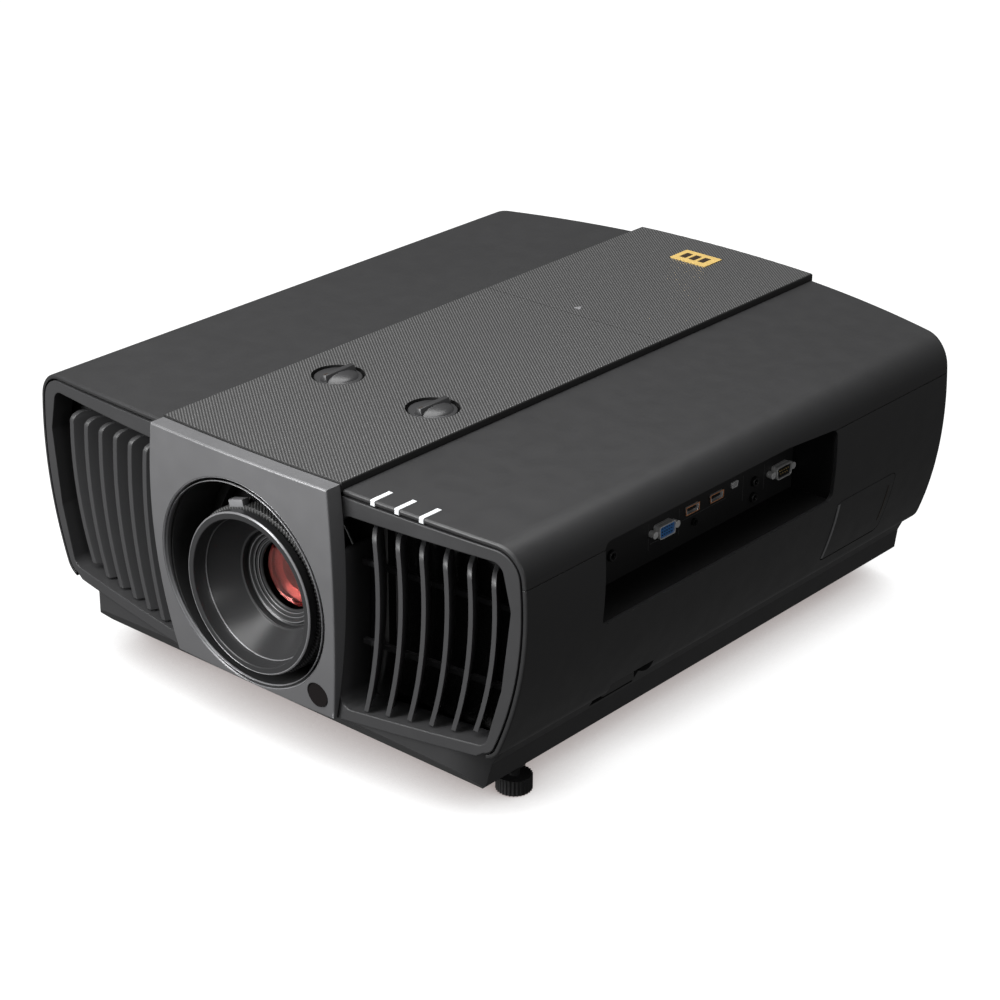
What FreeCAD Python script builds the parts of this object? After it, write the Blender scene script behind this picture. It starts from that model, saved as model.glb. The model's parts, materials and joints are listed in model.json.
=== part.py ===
"""Home projector: a large lens-in-the-middle cinema projector as an assembly of separate pieces.

Millimetres. The origin is on the floor under the middle of the casing, +Z is up,
the lens looks along -Y, and +X is the side with the sockets.
"""
import FreeCAD, Part
import math
import os
import Sketcher

V = FreeCAD.Vector
doc = FreeCAD.newDocument("home_projector")

# ---------------------------------------------------------------- driving dimensions
dims = doc.addObject("Spreadsheet::Sheet", "Dims")
DRIVING = [
    ("casing_half_width", 235.35, "widest point of the covers"),
    ("casing_height", 224.9, "floor to the top of the centre strip"),
    ("front_reach", 278.6, "origin to the front of the lens plate"),
    ("rear_reach", 278.6, "origin to the middle of the rear face"),
    ("front_curve", 1900, "plan radius of the front face"),
    ("rear_curve", 800, "plan radius of the rear face"),
    ("shell_front", 264, "origin to the front rim of the covers, on the centre line"),
    ("wall", 3, "wall of the moulded covers"),
    ("gap", 0.6, "visible gap between neighbouring covers"),
    ("cover_crown", 220, "height of the covers' top, carried to the centre line"),
    ("top_curve", 6500, "radius of the covers' flat-looking top"),
    ("side_curve", 260, "radius of the slanting side"),
    ("side_widest", 168, "height at which the side is widest"),
    ("shoulder", 24, "radius where the top turns into the side"),
    ("side_parting", 189.5, "height of the line between top cover and side panel"),
    ("tray_parting", 57, "height of the line between side panel and base tray"),
    ("side_foot", 204.5, "half width of the side panel at its lower edge"),
    ("heel", 16, "radius where the side turns in towards the base"),
    ("heel_start", 66, "height at which that turn starts"),
    ("tray_bottom", 20, "underside of the base tray"),
    ("tray_half_width", 193.5, "half width of the base tray just above its lower edge"),
    ("strip_half_width", 86, "half width of the raised centre strip"),
    ("strip_split", 77.5, "where the two strip covers meet"),
    ("plate_depth", 14, "depth of the lens plate"),
    ("plate_top", 223.3, "top edge of the lens plate"),
    ("plate_foot", 45, "lower edge of the lens plate"),
    ("plate_top_half", 85, "half width of the lens plate at its top"),
    ("plate_waist_half", 88.6, "half width of the lens plate at its widest"),
    ("plate_waist", 168, "height at which the lens plate is widest"),
    ("plate_foot_half", 77.6, "half width of the lens plate at its foot"),
    ("plate_lean", 1000, "radius of the lens plate seen from the side"),
    ("plate_crest", 190, "height at which the lens plate stands furthest forward"),
    ("aperture_radius", 79.5, "round opening in the lens plate"),
    ("aperture_height", 125.5, "centre of that opening"),
    ("lens_height", 116.5, "lens axis at rest"),
    ("hood_radius", 60, "outside of the lens hood"),
    ("hood_front", 270, "origin to the front rim of the hood"),
    ("hood_mouth", 54.5, "inner edge of the hood's rim"),
    ("hood_throat", 36, "small end of the hood's cone"),
    ("hood_depth", 31, "rim to throat"),
    ("focus_radius", 64, "outside of the focus ring"),
    ("barrel_radius", 50, "outside of the lens barrel"),
    ("knob_place", 46, "half the spacing of the lens shift knobs"),
    ("knob_back", 130, "origin to the knobs, towards the front"),
    ("knob_radius", 17.6, "lens shift knob"),
    ("knob_well", 19.6, "round recess that a knob sits in"),
    ("blade_count", 6, "blades in each front grille"),
    ("blade_thick", 4, "thickness of a grille blade"),
    ("blade_deep", 24, "depth of a grille blade"),
    ("blade_angle", 32, "outward sweep of the blades, degrees"),
    ("bay_back", 197, "depth to which the socket bay goes, from the centre line"),
    ("bay_front", 170, "front end of the socket bay"),
    ("bay_rear", 96, "rear end of the socket bay"),
    ("bay_floor", 133, "lower edge of the socket bay"),
    ("bay_roof", 194.5, "upper edge of the socket bay"),
    ("door_front", 106, "front edge of the filter door"),
    ("door_rear", 184, "rear edge of the filter door"),
    ("door_low", 74, "lower edge of the filter door"),
    ("door_high", 127, "upper edge of the filter door"),
    ("foot_across", 180, "centre line to a front foot"),
    ("rear_foot_across", 150, "centre line to a rear foot"),
    ("foot_ahead", 196, "origin to a front foot"),
    ("foot_behind", 190, "origin to a rear foot"),
    ("foot_radius", 13, "levelling foot"),
    ("foot_height", 12, "height of the foot's disc"),
    ("stud_radius", 4, "threaded stud of a foot"),
    ("ceiling_across", 150, "spacing of the ceiling holes across the base"),
    ("ceiling_along", 240, "spacing of the ceiling holes along the base"),
    ("ceiling_hole", 2.5, "radius of a ceiling hole, for M5"),
    ("fan_size", 80, "side of a fan"),
    ("fan_thick", 25, "depth of a fan"),
]
for row, (alias, value, note) in enumerate(DRIVING, start=1):
    dims.set(f"A{row}", note)
    dims.set(f"B{row}", str(value))
    dims.setAlias(f"B{row}", alias)
doc.recompute()


def d(alias):
    """The value of a driving dimension, for places that are worked out here."""
    return float(dims.get(alias))


subparts = []


def keep(obj, label):
    """Name a finished sub-part; its label is also the name of its file."""
    obj.Label = label
    subparts.append(obj)
    return obj


# ---------------------------------------------------------------- small makers
def bind(obj, prop, text):
    obj.setExpression(prop, str(text))
    return obj


def block(size, at, name="block"):
    """A box whose sizes and corner are expressions or numbers."""
    box = doc.addObject("Part::Box", name)
    for prop, text in zip(("Length", "Width", "Height"), size):
        bind(box, prop, text)
    for axis, text in zip("xyz", at):
        bind(box, f".Placement.Base.{axis}", text)
    return box


TURN = {"x": FreeCAD.Rotation(V(0, 1, 0), 90), "y": FreeCAD.Rotation(V(1, 0, 0), -90),
        "z": FreeCAD.Rotation()}


def rod(radius, length, at, along="z", name="rod"):
    """A cylinder that starts at a point and runs along +X, +Y or +Z."""
    cylinder = doc.addObject("Part::Cylinder", name)
    bind(cylinder, "Radius", radius)
    bind(cylinder, "Height", length)
    cylinder.Placement = FreeCAD.Placement(V(0, 0, 0), TURN[along])
    for axis, text in zip("xyz", at):
        bind(cylinder, f".Placement.Base.{axis}", text)
    return cylinder


def cone(radius_a, radius_b, length, at, along="z", name="cone"):
    piece = doc.addObject("Part::Cone", name)
    bind(piece, "Radius1", radius_a)
    bind(piece, "Radius2", radius_b)
    bind(piece, "Height", length)
    piece.Placement = FreeCAD.Placement(V(0, 0, 0), TURN[along])
    for axis, text in zip("xyz", at):
        bind(piece, f".Placement.Base.{axis}", text)
    return piece


def cut(base, *tools):
    """Take each tool away from the base, one cut after the other."""
    for tool in tools:
        result = doc.addObject("Part::Cut", "cut")
        result.Base = base
        result.Tool = tool
        base = result
    return base


def fuse(*pieces):
    result = doc.addObject("Part::MultiFuse", "fuse")
    result.Shapes = list(pieces)
    result.Refine = True
    return result


def common(base, tool):
    result = doc.addObject("Part::Common", "common")
    result.Base = base
    result.Tool = tool
    return result


def group(*pieces):
    """Separate solids that share one node."""
    result = doc.addObject("Part::Compound", "group")
    result.Links = list(pieces)
    return result


def rounded(base, radius, wanted):
    """Fillet the edges for which wanted(edge) holds."""
    doc.recompute()
    result = doc.addObject("Part::Fillet", "fillet")
    result.Base = base
    result.Edges = [(number, radius, radius)
                    for number, edge in enumerate(base.Shape.Edges, start=1) if wanted(edge)]
    doc.recompute()
    return result


def ring(outer, inner, length, at, along="z"):
    """A tube; the inner radius runs right through."""
    return cut(rod(outer, length, at, along), rod(inner, length, at, along))


def plane_of(body, role):
    return next(item for item in body.Origin.OriginFeatures if item.Role == role)


def pad(role, edges, length, name="pad", midplane=False, place=None):
    """A body with one closed sketch on an origin plane, padded by an expression."""
    body = doc.addObject("PartDesign::Body", name)
    sketch = body.newObject("Sketcher::SketchObject", name + "_sketch")
    sketch.AttachmentSupport = [(plane_of(body, role), "")]
    sketch.MapMode = "FlatFace"
    sketch.addGeometry(edges, False)
    join_ends(sketch)
    feature = body.newObject("PartDesign::Pad", name + "_pad")
    feature.Profile = sketch
    bind(feature, "Length", length)
    feature.Midplane = midplane
    body.Tip = feature
    for axis, text in zip("xyz", place or ()):
        bind(body, f".Placement.Base.{axis}", text)
    return body


def join_ends(sketch):
    """Coincident constraints wherever two ends of the sketch's geometry meet."""
    ends = []
    for index, edge in enumerate(sketch.Geometry):
        if hasattr(edge, "StartPoint"):
            for which in (1, 2):
                ends.append((index, which, sketch.getPoint(index, which)))
    used = set()
    for i, (index, which, point) in enumerate(ends):
        for j in range(i + 1, len(ends)):
            other, side, place = ends[j]
            if j not in used and other != index and point.distanceToPoint(place) < 1e-6:
                sketch.addConstraint(Sketcher.Constraint("Coincident", index, which, other, side))
                used.add(j)
                break


def line(a, b):
    return Part.LineSegment(V(a[0], a[1], 0), V(b[0], b[1], 0))


def arc(a, middle, b):
    return Part.Arc(V(a[0], a[1], 0), V(middle[0], middle[1], 0), V(b[0], b[1], 0))


def polygon(points):
    return [line(a, b) for a, b in zip(points, points[1:] + points[:1])]


def on_circle(centre, radius, degrees):
    angle = math.radians(degrees)
    return (centre[0] + radius * math.cos(angle), centre[1] + radius * math.sin(angle))


def rounded_loop(points, radius):
    """Closed outline of straight runs joined by tangent arcs of one radius."""
    starts, arcs = [], []
    count = len(points)
    for k in range(count):
        before, here, after = points[k - 1], points[k], points[(k + 1) % count]
        one = V(before[0] - here[0], before[1] - here[1], 0).normalize()
        two = V(after[0] - here[0], after[1] - here[1], 0).normalize()
        half = one.getAngle(two) / 2
        back = radius / math.tan(half)
        corner = V(here[0], here[1], 0)
        enter, leave = corner + one * back, corner + two * back
        inward = (one + two).normalize()
        middle = corner + inward * (radius / math.sin(half) - radius)
        arcs.append(arc(enter, middle, leave))
        starts.append((enter, leave))
    lines = [line(starts[k][1], starts[(k + 1) % count][0]) for k in range(count)]
    return [edge for pair in zip(arcs, lines) for edge in pair]


# ---------------------------------------------------------------- outer form
def shoulder_centre():
    """Centre of the shoulder arc, tangent to the top arc and to the side arc."""
    side = (d("casing_half_width") - d("side_curve"), d("side_widest"))
    side_reach = d("side_curve") - d("shoulder")
    top = (0, d("cover_crown") - d("top_curve"))
    top_reach = d("top_curve") - d("shoulder")
    span = math.dist(side, top)
    along = (top_reach ** 2 - side_reach ** 2 + span ** 2) / (2 * span)
    aside = math.sqrt(top_reach ** 2 - along ** 2)
    ux, uy = (side[0] - top[0]) / span, (side[1] - top[1]) / span
    one = (top[0] + ux * along - uy * aside, top[1] + uy * along + ux * aside)
    two = (top[0] + ux * along + uy * aside, top[1] + uy * along - ux * aside)
    return max(one, two)


def side_x(height, inset=0.0):
    """Half width of the covers at a height on the slanting side."""
    drop = height - d("side_widest")
    radius = d("side_curve") - inset
    return d("casing_half_width") - d("side_curve") + math.sqrt(radius ** 2 - drop ** 2)


def casing_section(inset, floor):
    """Closed front-view outline of the covers, moved inwards, from a flat floor upwards."""
    side = (d("casing_half_width") - d("side_curve"), d("side_widest"))
    top = (0, d("cover_crown") - d("top_curve"))
    turn = shoulder_centre()
    towards_side = math.degrees(math.atan2(turn[1] - side[1], turn[0] - side[0]))
    towards_top = math.degrees(math.atan2(turn[1] - top[1], turn[0] - top[0]))
    heel = d("heel")
    towards_heel = -math.degrees(math.asin((d("side_widest") - d("heel_start")) / d("side_curve")))
    heel_centre = on_circle(side, d("side_curve") - heel, towards_heel)
    down = -math.degrees(math.asin((heel_centre[1] - floor) / (heel - inset))) if floor > d("tray_parting") - 1 else -72
    a = on_circle(side, d("side_curve") - inset, towards_heel)
    b = on_circle(side, d("side_curve") - inset, towards_side)
    c = on_circle(turn, d("shoulder") - inset, towards_top)
    foot = on_circle(heel_centre, heel - inset, down)
    heel_mid = on_circle(heel_centre, heel - inset, (down + towards_heel) / 2)
    side_mid = on_circle(side, d("side_curve") - inset, (towards_heel + towards_side) / 2)
    shoulder_mid = on_circle(turn, d("shoulder") - inset, (towards_side + towards_top) / 2)
    crown = (0, d("cover_crown") - inset)
    under = (foot[0], floor)

    def left(point):
        return (-point[0], point[1])

    loop = [arc(foot, heel_mid, a), arc(a, side_mid, b), arc(b, shoulder_mid, c), arc(c, crown, left(c)),
            arc(left(c), left(shoulder_mid), left(b)), arc(left(b), left(side_mid), left(a)),
            arc(left(a), left(heel_mid), left(foot))]
    if foot[1] - floor < 0.01:
        return loop + [line(left(foot), foot)]
    return loop + [line(left(foot), left(under)), line(left(under), under), line(under, foot)]


def front_y(x, ahead=0.0):
    """Front face in plan: an arc that bulges forwards on the centre line."""
    radius = d("front_curve")
    return radius - d("shell_front") - math.sqrt((radius + ahead) ** 2 - x * x)


def rear_y(x, inset=0.0):
    radius = d("rear_curve")
    return d("rear_reach") - radius + math.sqrt((radius - inset) ** 2 - x * x)


def plan(ahead, inset, half=245.0):
    """Closed plan outline between the front arc and the rear arc."""
    a, b = (-half, front_y(half, ahead)), (half, front_y(half, ahead))
    c, e = (half, rear_y(half, inset)), (-half, rear_y(half, inset))
    return [arc(a, (0, front_y(0, ahead)), b), line(b, c), arc(c, (0, rear_y(0, inset)), e), line(e, a)]


def form(section_inset, floor, ahead, inset, name):
    """Front-view outline run front to back, kept between the two plan arcs."""
    bar = pad("XZ_Plane", casing_section(section_inset, floor), 700, name + "_bar", midplane=True)
    slab = pad("XY_Plane", plan(ahead, inset), 600, name + "_slab", midplane=True)
    return common(bar, slab)


def on_rear(edge, inset=0.0):
    return all(abs(p.y - rear_y(p.x, inset)) < 0.05 for p in edge.discretize(5))


def on_front(edge, ahead=0.0):
    return all(abs(p.y - front_y(p.x, ahead)) < 0.05 for p in edge.discretize(5))


PART_Z = d("tray_parting")
outer = form(0, PART_Z, 0, 0, "outer")
outer = rounded(outer, 3, lambda e: on_rear(e) and e.BoundBox.ZMax > PART_Z + 1)
outer = rounded(outer, 1.5, lambda e: on_front(e) and e.BoundBox.ZMax > PART_Z + 1)
inner = form(d("wall"), PART_Z - 10, 40, d("wall"), "inner")
inner = rounded(inner, 2, lambda e: on_rear(e, d("wall")) and e.BoundBox.ZMax > PART_Z - 9)
shell = cut(outer, inner)


def shell_region(low, high):
    """The part of the shell inside a box given by two corners."""
    size = [b - a for a, b in zip(low, high)]
    return common(shell, block(size, low, "region"))


GAP = d("gap")
FAR = 300
SPLIT_Z = d("side_parting")
STRIP_X = d("strip_half_width")
REAR_PANEL_X = 150.0

# ---------------------------------------------------------------- socket bay and door openings
bay_length = "Dims.bay_front + Dims.bay_rear"
bay_outline = rounded_loop([(-d("bay_front"), d("bay_floor")), (d("bay_rear"), d("bay_floor")),
                            (d("bay_rear"), d("side_parting") + 0.6),
                            (d("bay_rear") - 60, d("bay_roof")), (-d("bay_front"), d("bay_roof"))], 6)
bay_hole = pad("YZ_Plane", bay_outline, 60, "bay_hole", place=("Dims.bay_back", 0, 0))
door_outline = rounded_loop([(d("door_front"), d("door_low")), (d("door_rear"), d("door_low")),
                             (d("door_rear"), d("door_high")), (d("door_front"), d("door_high"))], 6)
door_hole = pad("YZ_Plane", door_outline, 60, "door_hole", place=(190, 0, 0))
LOCK_LOW, LOCK_HIGH, LOCK_FRONT, LOCK_REAR = 46.0, 70.0, -137.0, -90.0
lock_hole = block((60, LOCK_REAR - LOCK_FRONT, LOCK_HIGH - LOCK_LOW), (188, LOCK_FRONT, LOCK_LOW), "lock_hole")

# ---------------------------------------------------------------- covers
for sign, side in ((-1, "left"), (1, "right")):
    x_low, x_high = sorted((sign * (STRIP_X + GAP), sign * FAR))
    top = shell_region((x_low, -FAR, SPLIT_Z + GAP / 2), (x_high, FAR, 250))
    if sign > 0:
        top = cut(top, bay_hole)
        for k in range(3):
            slot_x = 112 + 20.2 * k
            top = cut(top, block((4.2, 22, 40), (slot_x - 2.1, front_y(slot_x) - 4, SPLIT_Z + 6), "light_slot"))
    keep(top, f"top_cover_{side}")

    panel = shell_region((min(0, sign * FAR), -FAR, PART_Z), (max(0, sign * FAR), FAR, SPLIT_Z - GAP / 2))
    panel = cut(panel, block((2 * REAR_PANEL_X, 100, 150), (-REAR_PANEL_X, 200, PART_Z), "rear_opening"))
    if sign > 0:
        panel = cut(panel, bay_hole, door_hole, lock_hole)
    else:
        key_opening = block((60, 92, 26), (-250, 60, 140), "key_opening")
        panel = cut(panel, key_opening)
    keep(panel, f"side_panel_{side}")

# The rear panel closes the back between the side panels.
rear = shell_region((-REAR_PANEL_X + GAP, 200, PART_Z), (REAR_PANEL_X - GAP, FAR, SPLIT_Z - GAP / 2))
INLET_X, INLET_Z = -110.0, 88.0
rear = cut(rear, block((48, 60, 31), (INLET_X - 24, 230, INLET_Z - 15.5), "inlet_hole"),
           block((22.4, 60, 28.4), (INLET_X + 29.8, 230, INLET_Z - 14.2), "rocker_hole"),
           rod(9.6, 60, (0, 230, 168), "y", "rear_ir_hole"))
for k in range(14):
    rear = cut(rear, block((5, 60, 62), (-4 + 10 * k, 230, 82), "vent"))
keep(rear, "rear_panel")


# ---------------------------------------------------------------- centre strip
def strip_cover(start, end, end_is_rear):
    """A shallow box cover with rounded top edges, open below."""
    reach = "Dims.strip_half_width"
    tall = 34 if end_is_rear else 7.3
    body = block((f"2 * {reach}", end - start, tall), (f"-{reach}", start, f"Dims.casing_height - {tall}"), "strip")
    body = common(body, pad("XY_Plane", plan(0.6, 0), 500, "strip_plan", midplane=True))
    top_z = d("casing_height")
    body = rounded(body, 1.6, lambda e: e.BoundBox.ZMin > top_z - 0.05 and (
        abs(e.BoundBox.XLength) < 0.1 or (end_is_rear and e.BoundBox.YMax > 200)))
    hollow_end = end + 5 if not end_is_rear else end
    hollow = block((f"2 * {reach} - 2 * Dims.wall", hollow_end - start + 5, 40),
                   (f"-{reach} + Dims.wall", start - 5, "Dims.casing_height - 40 - Dims.wall"), "hollow")
    hollow = common(hollow, pad("XY_Plane", plan(40, d("wall")), 500, "hollow_plan", midplane=True))
    return cut(body, hollow)


strip_front = strip_cover(-270, d("strip_split") - GAP / 2, False)
for sign in (-1, 1):
    well = rod("Dims.knob_well", 10, (f"{sign} * Dims.knob_place", "-Dims.knob_back", "Dims.casing_height - 5"))
    cup = cut(rod("Dims.knob_well + 2", 9, (f"{sign} * Dims.knob_place", "-Dims.knob_back",
                                           "Dims.casing_height - 9.5")),
              rod("Dims.knob_well", 7, (f"{sign} * Dims.knob_place", "-Dims.knob_back", "Dims.casing_height - 7")),
              rod(4.4, 20, (f"{sign} * Dims.knob_place", "-Dims.knob_back", "Dims.casing_height - 15")))
    strip_front = fuse(cut(strip_front, well), cup)
keep(strip_front, "strip_front_cover")
strip_rear = strip_cover(d("strip_split") + GAP / 2, 285, True)
strip_rear = cut(strip_rear, block((36.4, 24, 3), (-18.2 - 4, 227.5, "Dims.casing_height - 0.6"), "badge_seat"))
keep(strip_rear, "strip_rear_cover")
keep(rounded(block((35.4, 23, 1), (-17.7 - 4, 228, "Dims.casing_height - 0.55"), "badge"), 1,
             lambda e: e.BoundBox.ZLength > 0.9), "gold_plate")


# ---------------------------------------------------------------- lens plate
def plate_outline(inset=0.0):
    top, waist, foot = d("plate_top") - inset, d("plate_waist"), d("plate_foot") + inset
    a, m, b = d("plate_top_half") - inset, d("plate_waist_half") - inset, d("plate_foot_half") - inset
    return [line((-a, top), (a, top)), arc((a, top), (m, waist), (b, foot)), line((b, foot), (-b, foot)),
            arc((-b, foot), (-m, waist), (-a, top))]


def plate_face(height):
    """How far the plate's face stands in front of the origin at a height, on the centre line."""
    return d("front_reach") - (height - d("plate_crest")) ** 2 / (2 * d("plate_lean"))


swing = d("front_curve")
axis_y = swing - d("front_reach")
profile = doc.addObject("PartDesign::Body", "plate_round")
profile_sketch = profile.newObject("Sketcher::SketchObject", "plate_profile")
profile_sketch.AttachmentSupport = [(plane_of(profile, "YZ_Plane"), "")]
profile_sketch.MapMode = "FlatFace"
low_z, high_z = d("plate_foot") - 5, d("plate_top") + 5
face = [(-swing + d("front_reach") - plate_face(z), z) for z in (low_z, d("plate_crest"), high_z)]
back_face = -swing + d("front_reach") - d("shell_front") - 1.2
profile_sketch.addGeometry([arc(face[0], face[1], face[2]), line(face[2], (back_face, high_z)),
                            line((back_face, high_z), (back_face, low_z)), line((back_face, low_z), face[0])],
                           False)
join_ends(profile_sketch)
turned = profile.newObject("PartDesign::Revolution", "plate_turned")
turned.Profile = profile_sketch
turned.ReferenceAxis = (profile_sketch, ["V_Axis"])
turned.Angle = 8
turned.Midplane = True
profile.Tip = turned
profile.Placement = FreeCAD.Placement(V(0, axis_y, 0), FreeCAD.Rotation())
plate = common(profile, pad("XZ_Plane", plate_outline(), 700, "plate_bar", midplane=True))
plate = rounded(plate, 1.2, lambda e: e.BoundBox.YMin < -d("shell_front") - 3.0
                and e.BoundBox.YMax < -d("shell_front") - 1.0)
plate = cut(plate, rod("Dims.aperture_radius", 60, (0, -300, "Dims.aperture_height"), "y"))
IR_X, IR_Z = 65.0, 61.0
plate = cut(plate, rod(9.4, 60, (IR_X, -300, IR_Z), "y"))
keep(plate, "lens_plate")

# Round trough that the lens looks out of.
surround = fuse(
    cut(cone("Dims.aperture_radius - 0.4", 76.5, 34, (0, -268, "Dims.aperture_height"), "y"),
        cone("Dims.aperture_radius - 2.5", 74.5, 34.01, (0, -268, "Dims.aperture_height"), "y")),
    ring(79.8, "Dims.aperture_radius - 2.6", 2, (0, -263.4, "Dims.aperture_height"), "y"))
keep(surround, "lens_surround")
keep(group(rod(9.1, 5, (IR_X, -269, IR_Z), "y"), rod(9.2, 4, (0, 274.2, 168), "y")), "ir_windows")


# ---------------------------------------------------------------- front grilles
def bezel_outline(sign):
    """Front-view outline of a grille frame, outside, following the casing."""
    inset = 4.6
    top = (0, d("cover_crown") - d("top_curve"))
    turn = shoulder_centre()
    side = (d("casing_half_width") - d("side_curve"), d("side_widest"))
    radius = d("shoulder") - inset
    towards_side = math.degrees(math.atan2(turn[1] - side[1], turn[0] - side[0]))
    towards_top = math.degrees(math.atan2(turn[1] - top[1], turn[0] - top[0]))
    b, c = on_circle(turn, radius, towards_side), on_circle(turn, radius, towards_top)
    mid = on_circle(turn, radius, (towards_side + towards_top) / 2)
    heel = d("heel")
    towards_heel = -math.degrees(math.asin((d("side_widest") - d("heel_start")) / d("side_curve")))
    heel_centre = on_circle(side, d("side_curve") - heel, towards_heel)
    a = on_circle(heel_centre, heel - inset, towards_heel)
    side_mid = (side_x((a[1] + b[1]) / 2, inset), (a[1] + b[1]) / 2)
    toe = on_circle(heel_centre, heel - inset, -80)
    toe_mid = on_circle(heel_centre, heel - inset, (towards_heel - 80) / 2)
    under = (196, 57)
    plate_low = (d("plate_foot_half") - 2, 44.6)
    plate_high = (d("plate_top_half") + 0.6, c[1] + 2.4)
    loop = [arc(a, side_mid, b), arc(b, mid, c), line(c, plate_high), line(plate_high, plate_low),
            line(plate_low, under), line(under, toe), arc(toe, toe_mid, a)]
    return [mirror_edge(edge, sign) for edge in loop]


def mirror_edge(edge, sign):
    """The same sketch edge, turned over for the left side."""
    if sign > 0:
        return edge
    flip = FreeCAD.Matrix(-1, 0, 0, 0, 0, 1, 0, 0, 0, 0, 1, 0, 0, 0, 0, 1)
    if isinstance(edge, Part.LineSegment):
        return Part.LineSegment(flip.multVec(edge.EndPoint), flip.multVec(edge.StartPoint))
    shape = edge.toShape()
    middle = shape.valueAt((shape.FirstParameter + shape.LastParameter) / 2)
    return Part.Arc(flip.multVec(shape.valueAt(shape.LastParameter)), flip.multVec(middle),
                    flip.multVec(shape.valueAt(shape.FirstParameter)))


def grille_opening(sign):
    """The hole in the frame, with its own rounded corners."""
    points = [(84, 201.5), (215.5, 203.6), (223, 171), (216, 112), (203.5, 66.5), (80, 54)]
    loop = rounded_loop(points, 9)
    return [mirror_edge(edge, sign) for edge in loop]


def blade_end(k, top):
    """Centre of a blade's leading edge at its top or foot."""
    if top:
        return (110.8 + 18.7 * k, -259.3 + 2.5 * k, 194.7 - 1.25 * k)
    return (101.4 + 17.6 * k, -260.2 + 2.2 * k, 57.4 + 1.9 * k + (3 if k == 5 else 0))


def blade(k, sign):
    """A bowed blade that sweeps outwards towards its leading edge."""
    top, foot = blade_end(k, True), blade_end(k, False)
    half = d("blade_thick") / 2
    bow = 7.5
    mid_x = (top[0] + foot[0]) / 2 + bow
    mid_z = (top[2] + foot[2]) / 2 + 6
    outline = [arc((foot[0] + half, foot[2]), (mid_x + half, mid_z), (top[0] + half, top[2])),
               line((top[0] + half, top[2]), (top[0] - half, top[2])),
               arc((top[0] - half, top[2]), (mid_x - half, mid_z), (foot[0] - half, foot[2])),
               line((foot[0] - half, foot[2]), (foot[0] + half, foot[2]))]
    outline = [mirror_edge(edge, sign) for edge in outline]
    body = doc.addObject("PartDesign::Body", "blade")
    sketch = body.newObject("Sketcher::SketchObject", "blade_sketch")
    sketch.AttachmentSupport = [(plane_of(body, "XZ_Plane"), "")]
    sketch.MapMode = "FlatFace"
    sketch.addGeometry(outline, False)
    join_ends(sketch)
    feature = body.newObject("PartDesign::Pad", "blade_pad")
    feature.Profile = sketch
    bind(feature, "Length", "Dims.blade_deep")
    sweep = math.radians(d("blade_angle"))
    feature.UseCustomVector = True
    feature.Direction = V(-sign * math.sin(sweep), math.cos(sweep), 0)
    feature.AlongSketchNormal = False
    body.Tip = feature
    body.Placement = FreeCAD.Placement(V(0, top[1], 0), FreeCAD.Rotation())
    return common(body, nose(top[1], foot[2] - 5, top[2]))


def nose(front, low, high):
    """Side-view outline that rounds off a blade's upper front corner."""
    turn = 8.0
    slant = turn * (1 - math.sqrt(0.5))
    back = front + 60
    outline = [arc((front + turn, high), (front + slant, high - slant), (front, high - turn)),
               line((front, high - turn), (front, low)), line((front, low), (back, low)),
               line((back, low), (back, high)), line((back, high), (front + turn, high))]
    return pad("YZ_Plane", outline, 700, "blade_nose", midplane=True)


for sign, side in ((-1, "left"), (1, "right")):
    ring_bar = pad("XZ_Plane", bezel_outline(sign), 700, "bezel_bar", midplane=True)
    slab = cut(pad("XY_Plane", plan(0.2, 0), 600, "bezel_plan", midplane=True),
               block((600, 700, 600), (-300, "-Dims.shell_front + 31", -300)))
    frame = common(ring_bar, slab)
    hole = pad("XZ_Plane", grille_opening(sign), 700, "bezel_hole", midplane=True)
    frame = cut(frame, hole)
    keep(frame, f"front_bezel_{side}")
    bars = []
    for height, reach in ((98, 211), (158, 219)):
        slope = [(84.8, -243.6), (reach, -230.2), (reach, -227), (84.8, -240.4)]
        outline = [mirror_edge(edge, sign) for edge in polygon(slope)]
        bars.append(pad("XY_Plane", outline, 4, "carrier", place=(0, 0, height)))
    blades = [blade(k, sign) for k in range(int(d("blade_count")))]
    keep(fuse(*blades, *bars), f"grille_blades_{side}")

# Woven dust screens stand behind the blades.
fit = form(d("wall") + 0.3, PART_Z - 10, 40, d("wall") + 0.3, "fit")
screens = []
for sign in (-1, 1):
    x = 98.6 if sign > 0 else -235
    screens.append(common(block((136.4, 1, 152), (x, -225.8, 58), "screen"), fit))
keep(group(*screens), "dust_screens")

# Three light pipes lie in the right cover's front edge.
pipes = []
for k in range(3):
    x = 112 + 20.2 * k
    height = d("cover_crown") - x * x / (2 * d("top_curve"))
    upper = block((3.8, 17.8, 2), (x - 1.9, front_y(x) - 0.2, height - 1.8), "pipe_top")
    lower = block((3.8, 3, 3.6), (x - 1.9, front_y(x) - 0.2, height - 3.8), "pipe_front")
    pipes.append(rounded(fuse(upper, lower), 0.8, lambda e, at=height, ahead=front_y(x): (
        e.BoundBox.XLength > 3 and abs(e.BoundBox.ZMax - at - 0.2) < 0.05
        and abs(e.BoundBox.YMin - ahead + 0.2) < 0.05)))
keep(group(*pipes), "status_light_pipes")


# ---------------------------------------------------------------- base tray
def tray_section(inset, open_top):
    """Front-view outline of the tray: slanting sides that flare out to the side panels."""
    wide = d("tray_half_width") - inset
    top_x = d("side_foot") - 1.6 - inset
    low = d("tray_bottom") + inset
    top = PART_Z - GAP if not open_top else PART_Z + 5
    right = [(wide - 7, low), (wide, low + 6.5), (wide + 2.4, 43), (top_x, PART_Z - GAP), (top_x, top)]
    right = right[:-1] if not open_top else right
    left = [(-x, z) for x, z in reversed(right)]
    return polygon(right + left)


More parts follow.
